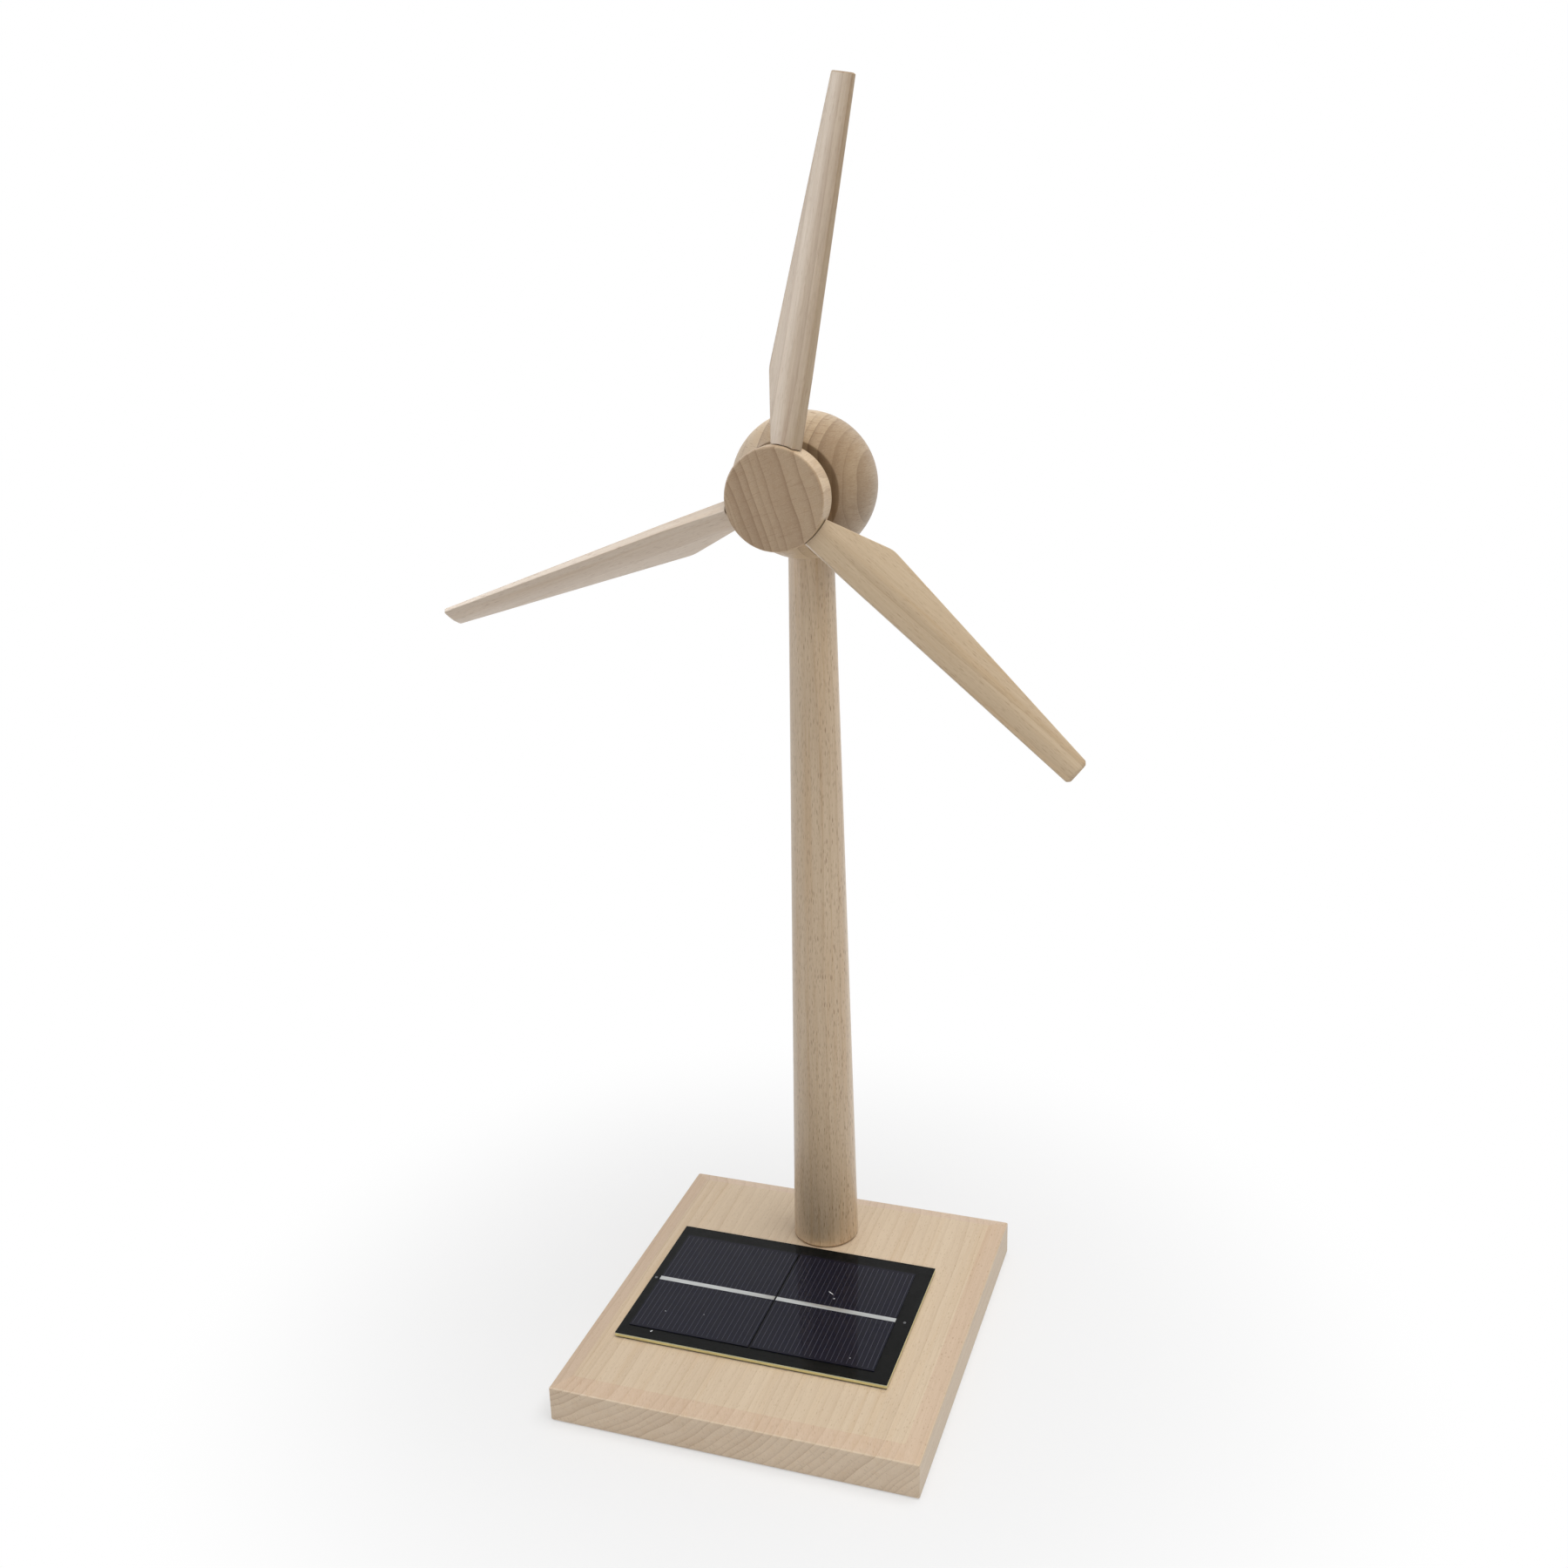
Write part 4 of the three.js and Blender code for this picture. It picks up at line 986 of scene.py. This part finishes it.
# Thin printed fingers across each cell, in two rows beside the ribbon
def buildFingerTree():
    tree, start, end = newGroup("cellFingers", [
        ("Count", "Int", 24), ("Pitch", "Float", 0.0017), ("Row Gap", "Float", 0.027),
        ("Length", "Float", 0.025), ("Width", "Float", 0.0002), ("Thickness", "Float", 0.00002),
        ("Centre", "Vector", None), ("Material", "Material", None),
    ], [("Geometry", "Geometry")], "GeometryNodeTree")
    reach = calc(tree, "MULTIPLY", calc(tree, "SUBTRACT", start["Count"], 1.0), start["Pitch"])
    inputs = {"Size X": reach, "Size Y": start["Row Gap"], "Vertices X": start["Count"], "Vertices Y": 2}
    grid = addNode(tree, "GeometryNodeMeshGrid", inputs).outputs[0]
    inputs = {0: start["Width"], 1: start["Length"], 2: start["Thickness"]}
    size = addNode(tree, "ShaderNodeCombineXYZ", inputs).outputs[0]
    bar = addNode(tree, "GeometryNodeMeshCube", {"Size": size}).outputs[0]
    made = addNode(tree, "GeometryNodeInstanceOnPoints", {"Points": grid, "Instance": bar}).outputs[0]
    for kind, inputs in (
        ("GeometryNodeTransform", {"Translation": start["Centre"]}), ("GeometryNodeRealizeInstances", {}),
        ("GeometryNodeSetMaterial", {"Material": start["Material"]}),
    ):
        made = addNode(tree, kind, dict(inputs, Geometry=made)).outputs[0]
    tree.links.new(made, end["Geometry"])
    return tree


fingerTree = buildFingerTree()


def buildFingers(name, x0, x1, values):
    v = values
    centre = (v["cellFront"] + v["cellBack"]) / 2
    length = (v["cellBack"] - v["cellFront"]) / 2 - v["ribbonWidth"] / 2 - v["fingerMargin"]
    chosen = {
        "Count": int((x1 - x0 - v["fingerMargin"]) / v["fingerPitch"]) + 1,
        "Pitch": v["fingerPitch"] * mm,
        "Row Gap": (length + v["ribbonWidth"] + v["fingerGap"]) * mm,
        "Length": length * mm,
        "Width": v["fingerWidth"] * mm,
        "Thickness": v["fingerThickness"] * mm,
        "Centre": Vector(((x0 + x1) / 2, centre, v["cellTop"] + v["fingerThickness"] / 2)) * mm,
        "Material": fingerLook,
    }
    piece = makeObject(name, [], [])
    change = piece.modifiers.new("fingers", "NODES")
    change.node_group = fingerTree
    for item in fingerTree.interface.items_tree:
        if item.in_out == "INPUT":
            change[item.identifier] = chosen[item.name]
    applyAll(piece)
    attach(piece, "stand")


def buildRibbon(name, x0, x1, values):
    v = values
    centre, half = (v["cellFront"] + v["cellBack"]) / 2, v["ribbonWidth"] / 2
    return box(name, (x0, centre - half, v["cellTop"]), (x1, centre + half, v["ribbonTop"]), v["softEdge"])


def buildSolder(name, side, values):
    v = values
    steps, centre = v["solderSteps"], (v["cellFront"] + v["cellBack"]) / 2
    dome = [(0, v["boardTop"]), (v["solderRadius"], v["boardTop"])]
    for k in range(1, steps + 1):
        angle = math.pi / 2 * k / steps
        height = v["boardTop"] + (v["solderTop"] - v["boardTop"]) * math.sin(angle)
        dome.append((v["solderRadius"] * math.cos(angle) if k < steps else 0, height))
    return lathe(name, dome, v["solderSides"], upright(centre, side))


def buildCell(label, sign, values):
    v = values
    near, far = v["cellGap"] / 2, v["cellGap"] / 2 + v["cellWidth"]
    x0, x1 = sorted((v["cellsMiddle"] + sign * near, v["cellsMiddle"] + sign * far))
    low, high = (x0, v["cellFront"], v["boardTop"]), (x1, v["cellBack"], v["cellTop"])
    cell = box(f"cell_{label}_wafer", low, high, v["softEdge"])
    finish(cell, "stand", f"cell_{label}", siliconLook, keepFlat=True)
    buildFingers(f"fingers_{label}", x0, x1, v)
    ribbon = buildRibbon(f"ribbon_{label}_strip", x0, x1, v)
    finish(ribbon, "stand", f"ribbon_{label}", tinLook)
    drop = buildSolder(f"solder_{label}_drop", v[f"{label}Solder"], v)
    finish(drop, "stand", f"solder_{label}", solderLook)


buildCell("left", -1, panelValues)
buildCell("right", 1, panelValues)

# Dust and a short scratch caught in the coat; each has a middle, a half length, a half width and a turn

speckValues = {
    "height": 16.02, "thickness": 0.03, "sides": 8,
    "places": (
        (-37.5, -22.8, 0.16, 0.13, 0), (28.1, -28.5, 0.16, 0.13, 0), (12.4, 2.1, 1.2, 0.14, -34),
        (14.3, -0.6, 0.3, 0.16, 40), (-37.9, -33.9, 0.5, 0.2, 50), (-24.5, -21.0, 0.12, 0.1, 0),
    ),
}


def buildSpecks(values):
    v = values
    verts, faces = [], []
    for x, y, long, wide, turn in v["places"]:
        start, n = len(verts), v["sides"]
        cosine, sine = math.cos(math.radians(turn)), math.sin(math.radians(turn))
        for z in (v["height"], v["height"] + v["thickness"]):
            for k in range(n):
                a, b = long * math.cos(2 * math.pi * k / n), wide * math.sin(2 * math.pi * k / n)
                verts.append((x + a * cosine - b * sine, y + a * sine + b * cosine, z))
        faces += [[start + k, start + (k + 1) % n, start + n + (k + 1) % n, start + n + k] for k in range(n)]
        faces += [[start + k for k in reversed(range(n))], [start + n + k for k in range(n)]]
    return makeObject("coat_specks", verts, faces)


specks = buildSpecks(speckValues)
specks.data.materials.append(speckLook)
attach(specks, "stand")

print("stage: motor and panel")

# Leads: smooth tubes on the route that runs from the pads through board and tower to the motor.
# Each point is the distance from the middle, y and height.

leadValues = {
    "radius": 0.65, "sides": 12, "steps": 14, "leastSpan": 1e-4,
    "route": (
        (2.2, 15, 14.05), (2.2, 15, 7.4), (2.2, 16, 4.4), (2.2, 20, 3.4), (0.95, 32, 3.4), (0.95, 38, 3.4),
        (0.95, 41, 5.4), (0.95, 40.5, 14), (0.95, 40, 133), (0.95, 40, 266), (0.95, 40.5, 272.5),
        (2.2, 41, 277.5), (5.2, 41, 280.5), (7.2, 38.911, 281.5), (7.2, 36.961, 281.5),
    ),
}


# The same centripetal curve that the solids follow
def curvePoints(points, steps, leastSpan):
    made = []
    ends = [points[0] * 2 - points[1]] + points + [points[-1] * 2 - points[-2]]
    for i in range(1, len(ends) - 2):
        p = ends[i - 1:i + 3]
        d = [max((p[k + 1] - p[k]).length ** 0.5, leastSpan) for k in range(3)]
        t1 = (p[1] - p[0]) / d[0] - (p[2] - p[0]) / (d[0] + d[1]) + (p[2] - p[1]) / d[1]
        t2 = (p[2] - p[1]) / d[1] - (p[3] - p[1]) / (d[1] + d[2]) + (p[3] - p[2]) / d[2]
        t1, t2 = t1 * d[1], t2 * d[1]
        for k in range(steps):
            t = k / steps
            made.append(
                p[1] + t1 * t + (p[2] * 3 - p[1] * 3 - t1 * 2 - t2) * t ** 2
                + (p[1] * 2 - p[2] * 2 + t1 + t2) * t ** 3)
    made.append(points[-1])
    return made


def buildLead(name, side, values):
    v = values
    points = [Vector((sharedValues["side"] + side * reach, y, z)) for reach, y, z in v["route"]]
    path = curvePoints(points, v["steps"], v["leastSpan"])
    rings = []
    across = Vector((1, 0, 0))
    for k, point in enumerate(path):
        ahead = (path[min(k + 1, len(path) - 1)] - path[max(k - 1, 0)]).normalized()
        across = (across - ahead * across.dot(ahead)).normalized()
        other = ahead.cross(across)
        ring = []
        for n in range(v["sides"]):
            angle = 2 * math.pi * n / v["sides"]
            ring.append(point + (across * math.cos(angle) + other * math.sin(angle)) * v["radius"])
        rings.append(ring)
    return loft(name, rings)


redLook = plainMaterial("red_sheath", (178, 32, 28), 0.42, 0.0, 500.0, 0.12, 0.006)
blackLook = plainMaterial("black_sheath", (26, 26, 28), 0.42, 0.0, 500.0, 0.12, 0.006)
finish(buildLead("red_wire", 1, leadValues), "stand", "lead_red", redLook, angle=60)
finish(buildLead("black_wire", -1, leadValues), "stand", "lead_black", blackLook, angle=60)

# CAD pieces that stay as they are and get their own materials

pinWood = woodMaterial(
    "beech_pin_wood", (0, 0, 1), (-30, -20, 0), (0, 0, 0), ringSpacing=2.5, ringStrength=0.25,
    fleckShare=0.5, fleckStrength=0.4, seed=4.4)
slipWood = woodMaterial(
    "beech_slip_wood", (0, 1, 0), (20, 0, -40), (0, 20, 0), ringSpacing=3.0, ringStrength=0.3,
    fleckShare=0.5, fleckStrength=0.4, seed=9.6)
foamLook = plainMaterial("foam_tape_skin", (38, 38, 40), 0.9, 0.0, 1200.0, 0.4, 0.05)
capLook = plainMaterial("cap_nylon", (226, 223, 212), 0.48, 0.0, 260.0, 0.08, 0.01)
magnetLook = plainMaterial("ferrite_magnet", (58, 58, 60), 0.7, 0.0, 800.0, 0.3, 0.02)
coreLook = plainMaterial("core_steel", (128, 130, 132), 0.42, 1.0, 1200.0, 0.3, 0.01)
copperLook = plainMaterial("drawn_copper", (186, 104, 60), 0.3, 1.0, 900.0, 0.25, 0.01)
keptLooks = (
    (slipWood, ("groove_cover",)),
    (foamLook, ("panel_tape",)),
    (tinLook, ("pad_negative", "pad_positive")),
    (capLook, ("motor_end_cap",)),
    (bronzeLook, ("bearing_rear",)),
    (magnetLook, ("magnet_left", "magnet_right")),
    (coreLook, ("armature_core",)),
    (copperLook, ("brush_left", "brush_right", "winding_1", "winding_2", "winding_3", "commutator")),
    (pinWood, ("dowel_1", "dowel_2", "dowel_3")),
)
for look, names in keptLooks:
    for name in names:
        nodes[name].data.materials.clear()
        nodes[name].data.materials.append(look)

print("stage: leads and kept pieces")

# Stage: a pale floor that turns plain white away from the object, and soft light from above and the right

floorValues = {
    "size": 3.0, "top": -0.02, "bottom": -2, "albedo": 0.8, "unevenScale": 6.0, "unevenShare": 0.985,
    "roughness": 0.7, "specular": 0.2, "clearFrom": 0.06, "clearTo": 0.22, "nearGlow": 0.9, "nearShare": 0.5,
}


def seenDirectly(tree):
    seen = addNode(tree, "ShaderNodeLightPath").outputs
    mirrored = calc(tree, "MAXIMUM", seen["Is Glossy Ray"], seen["Is Transmission Ray"])
    return calc(tree, "MAXIMUM", seen["Is Camera Ray"], mirrored)


def buildFloor(values):
    v = values
    half = v["size"] / 2 / mm
    floor = loft("floor", [fourCorners(-half, -half, half, half, z) for z in (v["bottom"], v["top"])])
    material, tree, surface = newMaterial("studio_floor")
    place = addNode(tree, "ShaderNodeTexCoord").outputs["Object"]
    uneven = noise(tree, place, v["unevenScale"], 2.0).outputs["Fac"]
    pale, dim = [(level,) * 3 + (1,) for level in (v["albedo"], v["albedo"] * v["unevenShare"])]
    tree.links.new(mixColour(tree, uneven, pale, dim), surface.inputs["Base Color"])
    setSockets(surface, {"Roughness": v["roughness"], "Specular IOR Level": v["specular"]})
    reach = calcVector(tree, "LENGTH", place)
    away = spread(tree, reach, v["clearFrom"], v["clearTo"], 0, 1, "SMOOTHSTEP")
    share = calc(tree, "MULTIPLY", spread(tree, away, 0, 1, v["nearShare"], 1), seenDirectly(tree))
    level = spread(tree, away, 0, 1, v["nearGlow"], 1)
    glow = addNode(tree, "ShaderNodeEmission", {"Color": (1, 1, 1, 1), "Strength": level}).outputs[0]
    mixed = addNode(tree, "ShaderNodeMixShader", {0: share, 1: surface.outputs[0], 2: glow}).outputs[0]
    output = [n for n in tree.nodes if n.type == "OUTPUT_MATERIAL"][0]
    tree.links.new(mixed, output.inputs["Surface"])
    floor.data.materials.append(material)


worldValues = {"base": 0.08, "top": 0.34, "right": 0.02, "front": 0.2, "riseFrom": -0.1, "riseTo": 0.9}


def buildWorld(values):
    v = values
    world = bpy.data.worlds.new("studio")
    bpy.context.scene.world = world
    world.use_nodes = True
    tree = world.node_tree
    tree.nodes.clear()
    direction = addNode(tree, "ShaderNodeTexCoord").outputs["Generated"]
    parts = addNode(tree, "ShaderNodeSeparateXYZ", {0: direction}).outputs
    level = v["base"]
    for axis, sign, gain in (("Z", 1.0, "top"), ("X", 1.0, "right"), ("Y", -1.0, "front")):
        facing = calc(tree, "MULTIPLY", parts[axis], sign)
        rise = spread(tree, facing, v["riseFrom"], v["riseTo"], 0, v[gain], "SMOOTHSTEP")
        level = calc(tree, "ADD", rise, level)
    straight = seenDirectly(tree)
    strength = calc(tree, "MULTIPLY", calc(tree, "SUBTRACT", 1.0, straight), level)
    strength = calc(tree, "ADD", strength, straight)
    output = addNode(tree, "ShaderNodeOutputWorld")
    light = addNode(tree, "ShaderNodeBackground", {"Color": (1, 1, 1, 1), "Strength": strength}).outputs[0]
    tree.links.new(light, output.inputs["Surface"])


# The card is a white one at the left that only shows in the wood's satin surface
lampValues = {
    "lamp_top": {
        "place": (0.75, 0.0, 3.1), "target": (0, 0, 0.15), "size": 2.4, "power": 88, "card": False,
    },
    "card_left": {
        "place": (-0.6, -0.15, 0.55), "target": (0, -0.1, 0.48), "size": 0.6, "power": 4.0, "card": True,
    },
}


def addLamp(name, values):
    v = values
    data = bpy.data.lights.new(name, "AREA")
    data.shape = "SQUARE"
    data.size = v["size"]
    data.energy = v["power"]
    lamp = bpy.data.objects.new(name, data)
    place = Vector(v["place"])
    turn = (Vector(v["target"]) - place).to_track_quat("-Z", "Y").to_matrix().to_4x4()
    lamp.matrix_world = Matrix.Translation(place) @ turn
    lamp.visible_camera = False
    lamp.visible_glossy = v["card"]
    lamp.visible_diffuse = not v["card"]
    lamp.visible_transmission = False
    bpy.context.scene.collection.objects.link(lamp)


buildFloor(floorValues)
buildWorld(worldValues)
for name, values in lampValues.items():
    addLamp(name, values)

bpy.context.scene.view_settings.view_transform = "Standard"

print("stage: floor and light")
